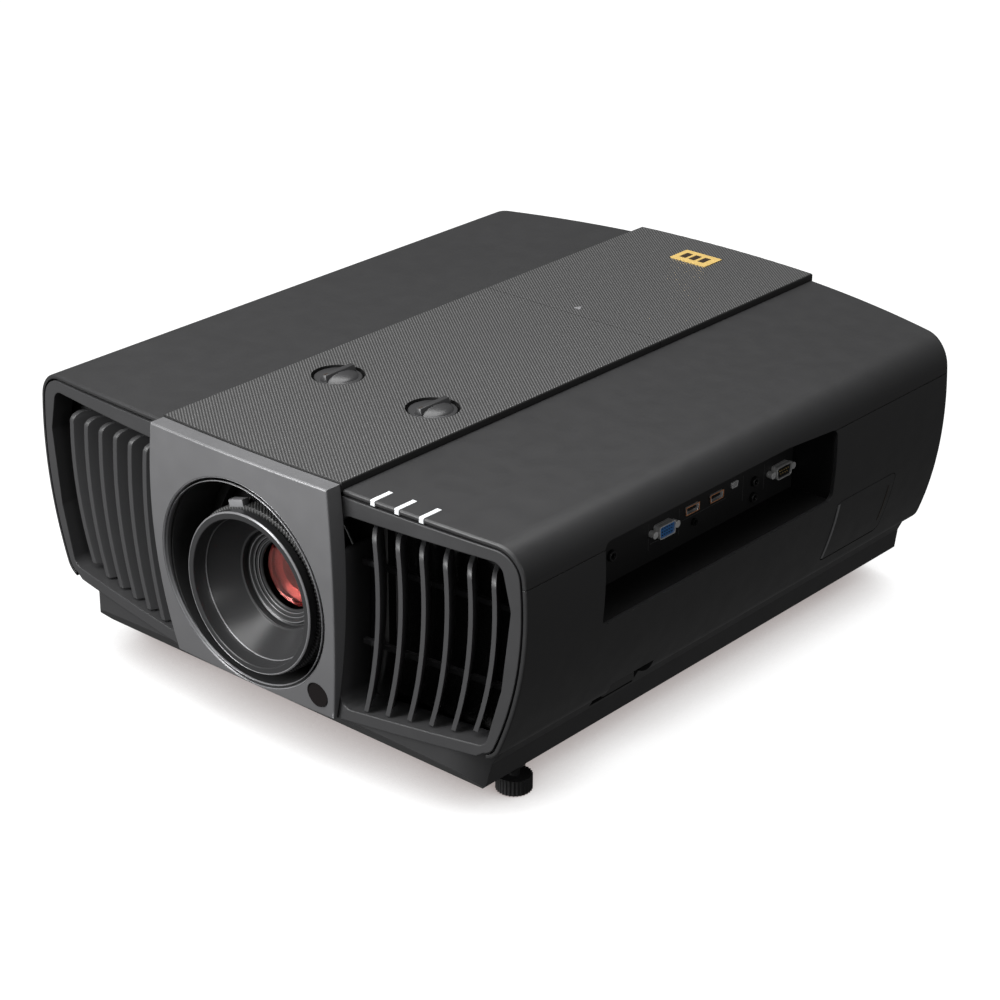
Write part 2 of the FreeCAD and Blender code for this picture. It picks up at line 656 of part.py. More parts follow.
def tray_plan(inset, front_inset):
    """Plan outline of the tray: bowed front and rear, with wide front corners."""
    wide, turn = d("side_foot"), 40.0
    front_end = (wide - turn, front_y(wide - turn, -front_inset))
    side_start = (wide, front_end[1] + turn + 3)
    slant = turn * (1 - math.sqrt(0.5))
    corner = (wide - slant, front_end[1] + slant + 1)
    rear_end = (wide, rear_y(wide, inset))

    def left(point):
        return (-point[0], point[1])

    return [arc(left(front_end), (0, front_y(0, -front_inset)), front_end), arc(front_end, corner, side_start),
            line(side_start, rear_end), arc(rear_end, (0, rear_y(0, inset)), left(rear_end)),
            line(left(rear_end), left(side_start)), arc(left(side_start), left(corner), left(front_end))]


def chin(back):
    """The space in front of the tray's slanting lower front, moved back by a distance."""
    top, foot = (-262 + back, 47), (-236 + back, 20)
    slope = (top[0] - foot[0]) / (top[1] - foot[1])
    outline = [(-320, -20), (foot[0] - 40 * slope, -20), (top[0] + 20 * slope, 67), (-320, 67)]
    return pad("YZ_Plane", polygon(outline), 600, "chin", midplane=True)


tray = common(pad("XZ_Plane", tray_section(0, False), 700, "tray_bar", midplane=True),
              pad("XY_Plane", tray_plan(3, 3), 600, "tray_plan", midplane=True))
tray_hollow = common(pad("XZ_Plane", tray_section(d("wall"), True), 700, "tray_hollow_bar", midplane=True),
                     pad("XY_Plane", tray_plan(6, 6), 600, "tray_hollow_plan", midplane=True))
arch_radius, arch_height = 1100.0, 40.0
arch_tool = rod(arch_radius, 40, (0, -290, arch_height - arch_radius), "y", "arch")
toe_x, toe_z = 196, 56
bezel_room = [(-74, 43.8), (74, 43.8), (toe_x, toe_z), (260, toe_z), (260, 90), (-260, 90), (-260, toe_z),
              (-toe_x, toe_z)]
room = common(pad("XZ_Plane", polygon(bezel_room), 700, "bezel_room", midplane=True),
              block((600, 80, 100), (-300, -309, 0)))
tray = cut(tray, cut(tray_hollow, chin(4)), chin(0), arch_tool, room)
for k in range(12):
    tray = cut(tray, block((60, 5, 20), (-150, -150 + 11 * k, 10), "floor_vent"))
ceiling = []
for sx in (-1, 1):
    for sy in (-1, 1):
        place = (f"{sx} * Dims.ceiling_across / 2", f"{sy} * Dims.ceiling_along / 2")
        tray = fuse(tray, rod(7, 12, place + (d("tray_bottom"),), name="boss"))
        tray = cut(tray, rod("Dims.ceiling_hole", 40, place + (0,), name="ceiling_hole"))
feet_at = [(sx * across, y) for across, y in ((d("foot_across"), -d("foot_ahead")),
                                              (d("rear_foot_across"), d("foot_behind"))) for sx in (-1, 1)]
for x, y in feet_at:
    tray = fuse(tray, rod(8, 22, (x, y, d("tray_bottom")), name="foot_boss"))
    tray = cut(tray, rod("Dims.stud_radius + 0.08", 60, (x, y, 0), name="foot_hole"))
tray = cut(tray, lock_hole)
keep(tray, "base_tray")

# ---------------------------------------------------------------- socket bay
liner = cut(block((42, f"{bay_length} + 6", 67.5), (193, "-Dims.bay_front - 3", "Dims.bay_floor - 3")),
            block((60, bay_length, 61.5), (180, "-Dims.bay_front", "Dims.bay_floor")))
keep(common(liner, fit), "socket_bay_liner")
SOCKETS = {"dsub": [(-60.4, 155.0), (78.6, 153.2)], "hdmi": [(-26.4, 158.0), (1.9, 157.8)],
           "jack": [(-116.8, 154.4, 4.0, 1.8), (-23.7, 147.0, 2.6, 1.4), (47.7, 153.8, 3.6, 1.8), (46.8, 141.6, 3.6, 1.8)],
           "usb": [(23.3, 159.8)]}
SCREW_OFFSET = 12.5
socket_face = d("bay_back")
panel = block((2, f"{bay_length} - 0.8", 60.7), (socket_face - 2, "-Dims.bay_front + 0.4", "Dims.bay_floor + 0.4"))


def wedge_outline(y, z, wide, narrow, tall, turn):
    """Side-view outline of a D-shaped or HDMI-shaped shell."""
    return rounded_loop([(y - narrow / 2, z - tall / 2), (y + narrow / 2, z - tall / 2),
                         (y + wide / 2, z + tall / 2), (y - wide / 2, z + tall / 2)], turn)


def wedge(y, z, wide, narrow, tall, turn, start, length):
    return pad("YZ_Plane", wedge_outline(y, z, wide, narrow, tall, turn), length, "wedge", place=(start, 0, 0))


dsubs, hdmis, jacks, screws = [], [], [], []
for y, z in SOCKETS["dsub"]:
    panel = cut(panel, wedge(y, z, 19.4, 17.6, 10.4, 2.2, socket_face - 3, 5))
    shell_d = cut(wedge(y, z, 19, 17.2, 10, 2, socket_face - 6, 11.5),
                  wedge(y, z, 17.6, 15.8, 8.6, 1.6, socket_face + 3.8, 3))
    dsubs.append(shell_d)
    for sign in (-1, 1):
        panel = cut(panel, rod(1.7, 6, (socket_face - 3, y + sign * SCREW_OFFSET, z), "x"))
        screws.append(fuse(rod(2.7, 4.6, (socket_face, y + sign * SCREW_OFFSET, z), "x"),
                           rod(1.5, 7, (socket_face - 6, y + sign * SCREW_OFFSET, z), "x")))
for y, z in SOCKETS["hdmi"]:
    panel = cut(panel, wedge(y, z, 16.2, 12.6, 6.8, 1.2, socket_face - 3, 5))
    hdmis.append(cut(wedge(y, z, 15.8, 12.2, 6.4, 1, socket_face - 10, 11),
                     wedge(y, z, 14.6, 11, 5.2, 0.8, socket_face - 8, 12)))
for y, z in SOCKETS["usb"]:
    panel = cut(panel, wedge(y, z, 8.6, 7, 5, 0.8, socket_face - 3, 5))
    hdmis.append(cut(wedge(y, z, 8.2, 6.6, 4.6, 0.6, socket_face - 8, 9),
                     wedge(y, z, 7.2, 5.6, 3.6, 0.5, socket_face - 6, 9)))
for y, z, radius, bore in SOCKETS["jack"]:
    panel = cut(panel, rod(radius + 0.2, 6, (socket_face - 3, y, z), "x"))
    jacks.append(cut(rod(radius, 12, (socket_face - 10, y, z), "x"),
                     rod(bore, 10, (socket_face - 7, y, z), "x")))
keep(panel, "socket_panel")
keep(group(*dsubs, *screws), "dsub_sockets")
keep(group(*hdmis), "digital_sockets")
keep(group(*jacks), "round_jacks")

# ---------------------------------------------------------------- filter door, filter and lock bar
inside_door = rounded_loop([(d("door_front") + 0.5, d("door_low") + 1.1), (d("door_rear") - 0.5, d("door_low") + 1.1),
                            (d("door_rear") - 0.5, d("door_high") - 0.5),
                            (d("door_front") + 0.5, d("door_high") - 0.5)], 5.5)
keep(common(shell, pad("YZ_Plane", inside_door, 60, "door_block", place=(190, 0, 0))), "filter_door")
keep(block((16, 66, 44), (196, 112, 79), "filter"), "air_filter")
lock_tub = cut(block((22, LOCK_REAR - LOCK_FRONT + 4, LOCK_HIGH - LOCK_LOW + 4),
                     (180, LOCK_FRONT - 2, LOCK_LOW - 2)),
               block((22, LOCK_REAR - LOCK_FRONT, LOCK_HIGH - LOCK_LOW), (183, LOCK_FRONT, LOCK_LOW)),
               block((40, 100, 60), (196.5, LOCK_FRONT - 20, LOCK_LOW - 10)))
lock_low_fit = common(lock_tub, block((40, 100, 40), (170, LOCK_FRONT - 20, LOCK_LOW - 2)))
keep(common(lock_low_fit, block((12.4, 100, 60), (180, LOCK_FRONT - 20, LOCK_LOW - 10))), "lock_pocket")
bar = cut(block((20, 36, 9), (184, LOCK_FRONT + 5.5, 53)), block((13, 24, 12), (188, LOCK_FRONT + 11.5, 51)))
keep(rounded(bar, 1.5, lambda e: e.BoundBox.ZLength > 8.5 and e.BoundBox.XMin > 203.5), "lock_bar")

# ---------------------------------------------------------------- rear: mains inlet and rocker
inlet = block((47.4, 24, 30.4), (INLET_X - 23.7, 246, INLET_Z - 15.2))
inlet = cut(inlet, block((24.6, 18, 17), (INLET_X - 12.3, 254, INLET_Z - 8.5)))
prongs = [block((2, 14, 4), (INLET_X + x - 1, 250, INLET_Z + z - 2)) for x, z in ((-7, -1.5), (7, -1.5), (0, 2.5))]
keep(fuse(inlet, *prongs), "mains_inlet")
ROCKER_X = INLET_X + 41.0
rocker = block((21, 10, 24.8), (ROCKER_X - 10.5, 266.5, INLET_Z - 12.4))
rocker = rounded(rocker, 1, lambda e: e.BoundBox.YMin > 276.4)
keep(cut(rocker, rod(120, 30, (ROCKER_X - 15, 395.7, INLET_Z), "x")), "power_rocker")

# ---------------------------------------------------------------- key panel on the far side
KEY_FACE, KEY_Z, KEY_CLEAR = -233.0, 153.0, 0.35
PAD_Y, PAD_OUTER, PAD_INNER = 112, 11.5, 4.4
KEYS = [("power_key", 72, 4.6), ("menu_key", 88, 3.6), ("ok_key", PAD_Y, 3.9), ("back_key", 136, 3.6)]
key_panel = fuse(block((3, 91, 25), (KEY_FACE, 60.5, 140.5)), block((1.6, 98, 32), (KEY_FACE + 3, 57, 137)))
for name, y, radius in KEYS:
    key_panel = cut(key_panel, rod(radius + KEY_CLEAR, 20, (KEY_FACE - 5, y, KEY_Z), "x"))
key_panel = cut(key_panel, rod(PAD_OUTER + KEY_CLEAR, 20, (KEY_FACE - 5, PAD_Y, KEY_Z), "x"))
keep(key_panel, "key_panel")
for name, y, radius in KEYS:
    key = rod(radius, 9, (KEY_FACE - 1.6, y, KEY_Z), "x", "key")
    keep(rounded(key, 0.5, lambda e: e.BoundBox.XMax < KEY_FACE - 1.5), name)
direction = ring(PAD_OUTER, PAD_INNER, 8, (KEY_FACE - 1.2, PAD_Y, KEY_Z), "x")
keep(rounded(direction, 0.5, lambda e: e.BoundBox.XMax < KEY_FACE - 1.1), "direction_pad")

# ---------------------------------------------------------------- lens and its shift mechanism
LENS = "Dims.lens_height"


def turned_piece(points, name):
    """A body turned about the lens axis from (radius, y) corners."""
    body = doc.addObject("PartDesign::Body", name)
    sketch = body.newObject("Sketcher::SketchObject", name + "_sketch")
    sketch.AttachmentSupport = [(plane_of(body, "XY_Plane"), "")]
    sketch.MapMode = "FlatFace"
    sketch.addGeometry(polygon(points), False)
    join_ends(sketch)
    feature = body.newObject("PartDesign::Revolution", name + "_turned")
    feature.Profile = sketch
    feature.ReferenceAxis = (sketch, ["V_Axis"])
    feature.Angle = 360
    body.Tip = feature
    bind(body, ".Placement.Base.z", LENS)
    return body


def radius_and_y(pairs):
    return [(radius, -y) for radius, y in pairs]


rim, mouth, throat = d("hood_radius"), d("hood_mouth"), d("hood_throat")
hood_y, throat_y = d("hood_front"), d("hood_front") - d("hood_depth")
hood = turned_piece(radius_and_y([(mouth, hood_y), (rim - 1, hood_y), (rim, hood_y - 1), (rim, hood_y - 7.7),
                                  (rim - 3, hood_y - 7.7), (rim - 3, 241), (39.5, 236), (39.5, 222), (34.4, 222),
                                  (34.4, 234), (throat, throat_y)]), "hood")
keep(hood, "lens_hood")
ring_in = rim - 3 + 0.08
focus = ring("Dims.focus_radius - 2", ring_in, 20.5, (0, -261.5, LENS), "y")
TAB_ANGLE = 16.0
tab = doc.addObject("Part::Box", "tab")
tab.Length, tab.Width, tab.Height = 15, 7, 6.6
tab.Placement = FreeCAD.Placement(V(0, 0, d("lens_height")), FreeCAD.Rotation(V(0, 1, 0), -TAB_ANGLE)).multiply(
    FreeCAD.Placement(V(-7.5, -261.5, 59.5), FreeCAD.Rotation()))
keep(fuse(focus, tab), "focus_ring")
keep(turned_piece(radius_and_y([(50.08, 238), (56, 238), (56, 226), (50.08, 226)]), "zoom"), "zoom_ring")
barrel_r = d("barrel_radius")
keep(turned_piece(radius_and_y([(45, 237), (barrel_r, 237), (barrel_r, 204), (53.4, 204), (53.4, 199), (barrel_r, 199),
                                (barrel_r, 120), (40, 104), (35, 104), (45, 122)]), "barrel"), "lens_barrel")


def lens_glass(radius, front, edge, bulge, name):
    """A double convex element: two spherical caps on a thin edge, ground as one solid."""
    ball = (radius ** 2 + bulge ** 2) / (2 * bulge)
    one = doc.addObject("Part::Sphere", name + "_front")
    one.Radius = ball
    bind(one, ".Placement.Base.z", LENS)
    bind(one, ".Placement.Base.y", front + ball)
    two = doc.addObject("Part::Sphere", name + "_back")
    two.Radius = ball
    bind(two, ".Placement.Base.z", LENS)
    bind(two, ".Placement.Base.y", front + 2 * bulge + edge - ball)
    both = common(one, two)
    return common(both, rod(radius, 60, (0, front - 5, LENS), "y"))


keep(lens_glass(34.0, -236, 4, 5.5, "front_element"), "front_lens")
zoom_cell = ring(44.5, 28.2, 14, (0, -197, LENS), "y")
keep(group(lens_glass(28.0, -196, 3, 4.5, "zoom_element"), zoom_cell), "zoom_group")

# The lens frame stands on the tray and carries two upright rods.
ROD_X, ROD_Y, CROSS_Y, CROSS_RISE = 84, -214, -202, 57
frame = cut(block((196, 8, 180), (-98, -232, 24)), rod(68.5, 20, (0, -240, "Dims.aperture_height"), "y"))
ears = [block((20, 16, 8), (sx * ROD_X - 10, -226, z)) for sx in (-1, 1) for z in (24, 196)]
uprights = [rod(3.5, 180, (sx * ROD_X, ROD_Y, 24)) for sx in (-1, 1)]
keep(fuse(frame, *ears, *uprights), "lens_frame")
lift = cut(block((186, 10, 138), (-93, -219, 40)), rod(57, 30, (0, -230, LENS), "y"))
for sx in (-1, 1):
    lift = cut(lift, rod(3.56, 200, (sx * ROD_X, ROD_Y, 10)))
side_blocks = [block((7, 14.2, 133), (sx * 74 - 3.5, -209.2, 50)) for sx in (-1, 1)]
cross_rods = [rod(3, 148, (-74, CROSS_Y, f"{LENS} + {sz * CROSS_RISE}"), "x") for sz in (-1, 1)]
keep(fuse(lift, *side_blocks, *cross_rods), "lift_carriage")
cross = cut(block((124, 9, 127), (-62, -206.5, 53)), rod(barrel_r + 0.05, 30, (0, -220, LENS), "y"),
            rod(53.5, 5.2, (0, -204.1, LENS), "y"))
for sz in (-1, 1):
    cross = cut(cross, rod(3.06, 200, (-100, CROSS_Y, f"{LENS} + {sz * CROSS_RISE}"), "x"))
keep(cross, "cross_carriage")

for sign, name in ((-1, "height_shift_knob"), (1, "side_shift_knob")):
    place = (f"{sign} * Dims.knob_place", "-Dims.knob_back")
    disc = rod("Dims.knob_radius", 4.2, place + ("Dims.casing_height - 6.4",))
    ridge = block((7, 31, 8.4), (f"{sign} * Dims.knob_place - 3.5", "-Dims.knob_back - 15.5",
                                 "Dims.casing_height - 4.25"))
    ridge = rounded(ridge, 2, lambda e: e.BoundBox.ZMin > d("casing_height") + 3)
    shaft = rod(4.3, 26, place + ("Dims.casing_height - 32",))
    keep(fuse(disc, ridge, shaft), name)

# ---------------------------------------------------------------- optics, lamp, fans, boards
engine = cut(block((130, 118, 100), (-65, -96, 66)), block((122, 110, 92), (-61, -92, 70)),
             rod(34, 30, (0, -110, LENS), "y"), rod(15, 30, (20, 10, 112), "y"))
keep(engine, "optical_engine")
fins = [block((2, 70, 60), (72 + 5 * k, -70, 86)) for k in range(9)]
keep(fuse(block((4, 74, 64), (68, -72, 84)), block((42, 70, 3), (70, -70, 84)), *fins), "imager_heat_sink")
wheel_x, wheel_z = 20.0, 136.0
keep(rod(32, 1.2, (wheel_x, 38, wheel_z), "y"), "colour_wheel")
keep(fuse(rod(11, 14, (wheel_x, 40, wheel_z), "y"), block((26, 3, 60), (wheel_x - 13, 54, 80))), "wheel_motor")
lamp = cut(block((100, 92, 92), (-30, 112, 66)), block((94, 80, 86), (-27, 118, 69)), rod(26, 20, (20, 105, 112), "y"))
keep(lamp, "lamp_housing")
reflector = cut(cone(36, 18, 46, (20, 136, 112), "y"), cone(33.5, 15, 46.2, (20, 135.9, 112), "y"),
                rod(6, 60, (20, 140, 112), "y"))
arc_tube = fuse(rod(4.5, 52, (20, 140, 112), "y"), rod(7.5, 14, (20, 156, 112), "y"))
keep(group(reflector, arc_tube), "lamp_bulb")
keep(fuse(block((64, 190, 1.6), (-196, -150, 60)), block((50, 60, 34), (-190, -130, 61.5)),
          block((44, 40, 40), (-188, -50, 61.5)), rod(14, 36, (-165, 10, 61.5))), "power_supply")
keep(fuse(block((1.6, 250, 56), (184, -165, 134.5)), block((12, 40, 40), (172.1, -40, 142))), "main_board")
frames, centres = [], []
for sign in (-1, 1):
    cx, cz = sign * 148.0, 122.0
    centres.append((cx, cz))
    frames.append(cut(block(("Dims.fan_size", "Dims.fan_thick", "Dims.fan_size"),
                            (f"{cx} - Dims.fan_size / 2", -224, f"{cz} - Dims.fan_size / 2")),
                      rod("Dims.fan_size / 2 - 1.5", 60, (cx, -240, cz), "y")))
keep(group(*frames), "fan_frames")
for (cx, cz), side in zip(centres, ("left", "right")):
    blades = []
    for k in range(7):
        angle = 360.0 / 7 * k
        paddle = doc.addObject("Part::Box", "paddle")
        paddle.Length, paddle.Width, paddle.Height = 20.5, 2, 17
        paddle.Placement = FreeCAD.Placement(V(cx, -211.5, cz), FreeCAD.Rotation(V(0, 1, 0), angle)).multiply(
            FreeCAD.Placement(V(15, -7, -7), FreeCAD.Rotation(V(1, 0, 0), -38)))
        blades.append(paddle)
    keep(fuse(rod(17, 20, (cx, -221.5, cz), "y"), *blades), f"{side}_impeller")

# ---------------------------------------------------------------- feet
feet = []
for x, y in feet_at:
    disc = rod("Dims.foot_radius", "Dims.foot_height", (x, y, 0))
    disc = rounded(disc, 1.5, lambda e: e.BoundBox.ZLength < 0.1 and e.BoundBox.ZMin > 1)
    feet.append(fuse(disc, rod("Dims.stud_radius", 34, (x, y, d("foot_height") - 1))))
keep(feet[0], "front_left_foot")
keep(feet[1], "front_right_foot")
keep(group(feet[2], feet[3]), "rear_feet")

# ---------------------------------------------------------------- check and write
doc.recompute()
for obj in doc.Objects:
    if {"Invalid", "Error"} & set(obj.State):
        raise RuntimeError(f"{obj.Name} ({obj.Label}) failed: {obj.State}")
os.makedirs("parts", exist_ok=True)
for obj in subparts:
    shape = obj.Shape
    if shape.isNull() or not shape.isValid() or not shape.Solids:
        raise RuntimeError(f"{obj.Label} has no sound solid")
    shape.exportStep(f"parts/{obj.Label}.step")
print(f"{len(subparts)} sub-parts written")
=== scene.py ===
"""Home projector: finishes, lens, grilles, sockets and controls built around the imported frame."""

import json
import math

import bmesh
import bpy
from bpy.props import FloatProperty, FloatVectorProperty, IntProperty, PointerProperty
from mathutils import Matrix, Vector

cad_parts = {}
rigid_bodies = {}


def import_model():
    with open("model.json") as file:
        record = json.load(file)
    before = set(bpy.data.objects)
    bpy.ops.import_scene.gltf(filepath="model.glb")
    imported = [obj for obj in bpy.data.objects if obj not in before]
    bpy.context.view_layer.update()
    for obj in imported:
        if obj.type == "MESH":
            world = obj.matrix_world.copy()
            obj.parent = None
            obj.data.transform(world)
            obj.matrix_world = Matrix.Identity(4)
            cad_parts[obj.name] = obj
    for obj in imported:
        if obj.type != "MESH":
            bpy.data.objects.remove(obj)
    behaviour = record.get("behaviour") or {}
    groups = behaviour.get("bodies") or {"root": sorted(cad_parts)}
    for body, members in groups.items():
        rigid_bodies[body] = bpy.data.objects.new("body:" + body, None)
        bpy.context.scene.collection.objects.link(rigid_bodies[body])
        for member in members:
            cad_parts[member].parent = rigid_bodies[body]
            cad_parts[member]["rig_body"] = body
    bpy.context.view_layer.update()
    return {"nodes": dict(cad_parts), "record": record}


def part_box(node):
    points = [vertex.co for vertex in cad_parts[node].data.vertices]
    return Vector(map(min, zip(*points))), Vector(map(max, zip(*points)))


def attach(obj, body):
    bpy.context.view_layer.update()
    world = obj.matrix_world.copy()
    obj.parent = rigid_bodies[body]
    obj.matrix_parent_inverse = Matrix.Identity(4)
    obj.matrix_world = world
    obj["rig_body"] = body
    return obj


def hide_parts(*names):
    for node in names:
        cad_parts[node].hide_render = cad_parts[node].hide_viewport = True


bl_info = {
    "name": "Home projector",
    "version": (1, 0, 0),
    "blender": (4, 5, 0),
    "location": "View3D > Sidebar > Projector",
    "description": "Builds a home cinema projector around its packed frame",
    "category": "Add Mesh",
}

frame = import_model()
SLOT_OF = {entry["node"]: entry["material_slot"] for entry in frame["record"]["subparts"]}

MM = 0.001
LENS_AXIS = Vector((0, 0, 0.1165))
APERTURE_AXIS = Vector((0, 0, 0.1255))
ABOUT_X = Vector((1, 0, 0))
ABOUT_Y = Vector((0, 1, 0))
# A wave texture's bands are one pitch apart when its scale is this over the pitch.
BAND_SCALE = math.pi / 10
materials = {}

# Lengths below are in millimetres. The lens plate's face is crowned both ways, and furthest out at its crest.
PLATE_FRONT = 278.6
PLATE_CREST_Z = 190
PLATE_UPRIGHT_RADIUS = 1000
PLATE_PLAN_RADIUS = 1900
# The casing's side is an arc seen from the front.
SIDE_CENTRE_X = -24.65
SIDE_CENTRE_Z = 168
SIDE_RADIUS = 260
# Shift knobs: places on the strip, and the ridge that a finger and thumb turn.
KNOB_X = 46
KNOB_Y = -130
KNOB_RADIUS = 17.6
RIDGE_HEIGHT = 8.6
RIDGE_HALF_WIDTH = 4.2
RIDGE_HALF_LENGTH = 15.4
FOCUS_RING_RADIUS = 62
# Levelling feet: how far each pair stands from the middle, across and along.
FRONT_FEET = (180, -196)
REAR_FEET = (150, 190)
FOOT_RADIUS = 13.0
NOTCH_DEPTH = 0.8

# Outlines of turned pieces: (radius, place along the lens axis).
HOOD_OUTLINE = [
    (54.5, -269.6), (55.0, -270), (58.9, -270), (60, -268.9), (60, -263.4), (59.2, -262.3), (57, -262.3),
    (57, -241), (39.5, -236), (39.5, -222), (34.4, -222), (34.4, -234), (36, -235.0), (36.6, -239.4),
    (38.2, -239.8), (52.6, -258.6), (53.0, -259.6), (54.2, -262.0)]
# The next two outlines are thin lighter rings at the black hood's rim and mouth: painted highlights.
RIM_HIGHLIGHT = [(58.6, -270.05), (59.1, -270.15), (60.0, -269.2), (60.0, -268.6)]
MOUTH_HIGHLIGHT = [(52.4, -258.9), (52.6, -258.9), (53.1, -259.6), (52.9, -259.8)]
FOCUS_RING_OUTLINE = [
    (57.2, -261.3), (61.4, -261.3), (62, -260.7), (62, -241.8), (61.4, -241.1), (57.2, -241.1)]
# Thin lighter rings on the throat's step edges: painted highlights.
THROAT_HIGHLIGHTS = ((33.2, -235.5), (30.2, -233.7), (27.6, -232.3))
INNER_CELLS = ((26, 22.0, -217), (22, 17.6, -213), (17.6, 13.8, -208))

# Sockets of the side bay: (name, y, z, rows of contacts, insert's finish), then (y, z) and (y, z, radius).
D_SOCKETS = (("analogue", -60.4, 155.0, 3, "blue_insert"), ("serial", 78.6, 153.2, 2, "black_insert"))
DIGITAL_SOCKETS = ((-26.4, 158.0), (1.9, 157.8))
JACKS = ((-116.8, 154.4, 4.0), (47.7, 153.8, 3.6), (46.8, 141.6, 3.6))
# Printed lines under the sockets (y, z, width), and between them (y).
UNDERLINES = ((-60.4, 146.9, 26), (-12, 152.0, 52))
DIVIDERS = (-75.5, -41.0, 34.2, 60.0)


# ---------------------------------------------------------------- materials
class Shader:
    """A node tree with a few short ways to add and join nodes."""

    def __init__(self, name):
        self.material = bpy.data.materials.new(name)
        self.material.use_nodes = True
        self.nodes = self.material.node_tree.nodes
        self.links = self.material.node_tree.links
        self.surface = self.nodes["Principled BSDF"]
        self.place = self.add("ShaderNodeTexCoord").outputs["Object"]

    def add(self, kind, inputs=(), **settings):
        node = self.nodes.new(kind)
        for key, value in settings.items():
            setattr(node, key, value)
        for key, value in dict(inputs).items():
            if isinstance(value, bpy.types.NodeSocket):
                self.links.new(value, node.inputs[key])
            else:
                node.inputs[key].default_value = value
        return node

    def noise(self, scale, detail=2.0, place=None):
        node = self.add("ShaderNodeTexNoise", {"Scale": scale, "Detail": detail})
        self.links.new(place or self.place, node.inputs["Vector"])
        return node.outputs["Fac"]

    def turned(self, turn=(0, 0, 0), scale=(1, 1, 1), shift=(0, 0, 0)):
        node = self.add("ShaderNodeMapping", {"Rotation": turn, "Scale": scale, "Location": shift})
        self.links.new(self.place, node.inputs["Vector"])
        return node.outputs["Vector"]

    def waves(self, pitch, turn, direction="X", profile="SIN"):
        """Bands one pitch apart, 0 to 1, across an axis turned about Z."""
        node = self.add("ShaderNodeTexWave", {"Scale": BAND_SCALE / pitch}, wave_type="BANDS",
                        bands_direction=direction, wave_profile=profile)
        self.links.new(self.turned(turn), node.inputs["Vector"])
        return node.outputs["Fac"]

    def ramp(self, value, low, high, a, b):
        node = self.add("ShaderNodeMapRange", {"Value": value, "From Min": low, "From Max": high,
                                               "To Min": a, "To Max": b})
        return node.outputs["Result"]

    def maths(self, operation, a, b):
        return self.add("ShaderNodeMath", {0: a, 1: b}, operation=operation).outputs[0]

    def mix(self, share, a, b):
        node = self.nodes.new("ShaderNodeMix")
        node.data_type = "RGBA"
        for socket, value in ((node.inputs[0], share), (node.inputs[6], a), (node.inputs[7], b)):
            if isinstance(value, bpy.types.NodeSocket):
                self.links.new(value, socket)
            else:
                socket.default_value = value
        return node.outputs[2]

    def relief(self, height, depth, edge=0.0):
        """Bump of a height over rounded-looking edges."""
        bump = self.add("ShaderNodeBump", {"Height": height, "Distance": depth, "Strength": 1.0})
        if edge:
            soft = self.add("ShaderNodeBevel", {"Radius": edge}, samples=4)
            self.links.new(soft.outputs["Normal"], bump.inputs["Normal"])
        self.links.new(bump.outputs["Normal"], self.surface.inputs["Normal"])

    def set(self, **values):
        names = {"colour": "Base Color", "roughness": "Roughness", "metallic": "Metallic",
                 "coat": "Coat Weight", "coat_roughness": "Coat Roughness", "specular": "Specular IOR Level",
                 "transmission": "Transmission Weight", "ior": "IOR", "emission": "Emission Color",
                 "glow": "Emission Strength", "sheen": "Sheen Weight"}
        for key, value in values.items():
            socket = self.surface.inputs[names[key]]
            if isinstance(value, bpy.types.NodeSocket):
                self.links.new(value, socket)
            else:
                socket.default_value = value


def grey(value, tint=0.0):
    return (value, value, value * (1 + tint), 1)


def moulded(name, tone, roughness, grain=2600.0, depth=0.00002, edge=0.0006, metallic=0.0, specular=0.35):
    """Moulded or painted surface: fine grain, slight clouding of tone and gloss, softened edges."""
    shader = Shader(name)
    tone = tone if isinstance(tone, (tuple, list)) else (tone, tone, tone * 1.03)
    cloud = shader.noise(9.0, 3.0)
    darker = tuple(part * 0.9 for part in tone[:3]) + (1,)
    lighter = tuple(part * 1.1 for part in tone[:3]) + (1,)
    shader.set(colour=shader.mix(cloud, darker, lighter), metallic=metallic, specular=specular,
               roughness=shader.ramp(shader.noise(60.0, 4.0), 0.3, 0.7, roughness * 0.93, roughness * 1.07))
    shader.relief(shader.noise(grain, 2.0), depth, edge)
    return shader.material


def woven_strip(name, dark, light):
    """Fine diagonal weave moulded into the centre strip: slanting rows broken by a cross pitch."""
    shader = Shader(name)
    rows = shader.waves(0.0021, (0, 0, math.radians(38)), "Y")
    picks = shader.waves(0.0018, (0, 0, math.radians(-24)), "Y")
    weave = shader.maths("MULTIPLY", rows, shader.ramp(picks, 0.0, 1.0, 0.35, 1.0))
    normal_z = shader.add("ShaderNodeSeparateXYZ", {0: shader.add("ShaderNodeNewGeometry").outputs["Normal"]})
    on_top = shader.ramp(normal_z.outputs["Z"], 0.7, 0.9, 0.0, 1.0)
    weave = shader.maths("MULTIPLY", weave, on_top)
    cloud = shader.mix(shader.noise(12.0), grey(dark * 0.92), grey(dark * 1.08))
    shader.set(colour=shader.mix(weave, cloud, grey(light)), roughness=shader.ramp(weave, 0, 1, 0.42, 0.3),
               metallic=0.25)
    shader.relief(weave, 0.00022, 0.0006)
    return shader.material


def knurled(name, tone, pitch=0.0021):
    """Diamond-cut grip that follows the ring's own map: U round the ring and V along it, in metres. Studs
    painted lighter and grooves darker: painted highlight and shade.
    """
    shader = Shader(name)
    flat = shader.add("ShaderNodeUVMap", uv_map="grip").outputs["UV"]
    bands = []
    for turn in (45, -45):
        node = shader.add("ShaderNodeMapping", {"Rotation": (0, 0, math.radians(turn))})
        shader.links.new(flat, node.inputs["Vector"])
        wave = shader.add("ShaderNodeTexWave", {"Scale": BAND_SCALE / pitch}, wave_type="BANDS",
                          bands_direction="X")
        shader.links.new(node.outputs["Vector"], wave.inputs["Vector"])
        bands.append(wave.outputs["Fac"])
    studs = shader.maths("MULTIPLY", *bands)
    # Stud tops lighter and grooves darker on a ring of one colour: painted highlight and painted shade.
    shader.set(colour=shader.mix(studs, grey(tone * 0.4), grey(tone * 2.2)), roughness=0.42)
    shader.relief(studs, 0.0005)
    return shader.material


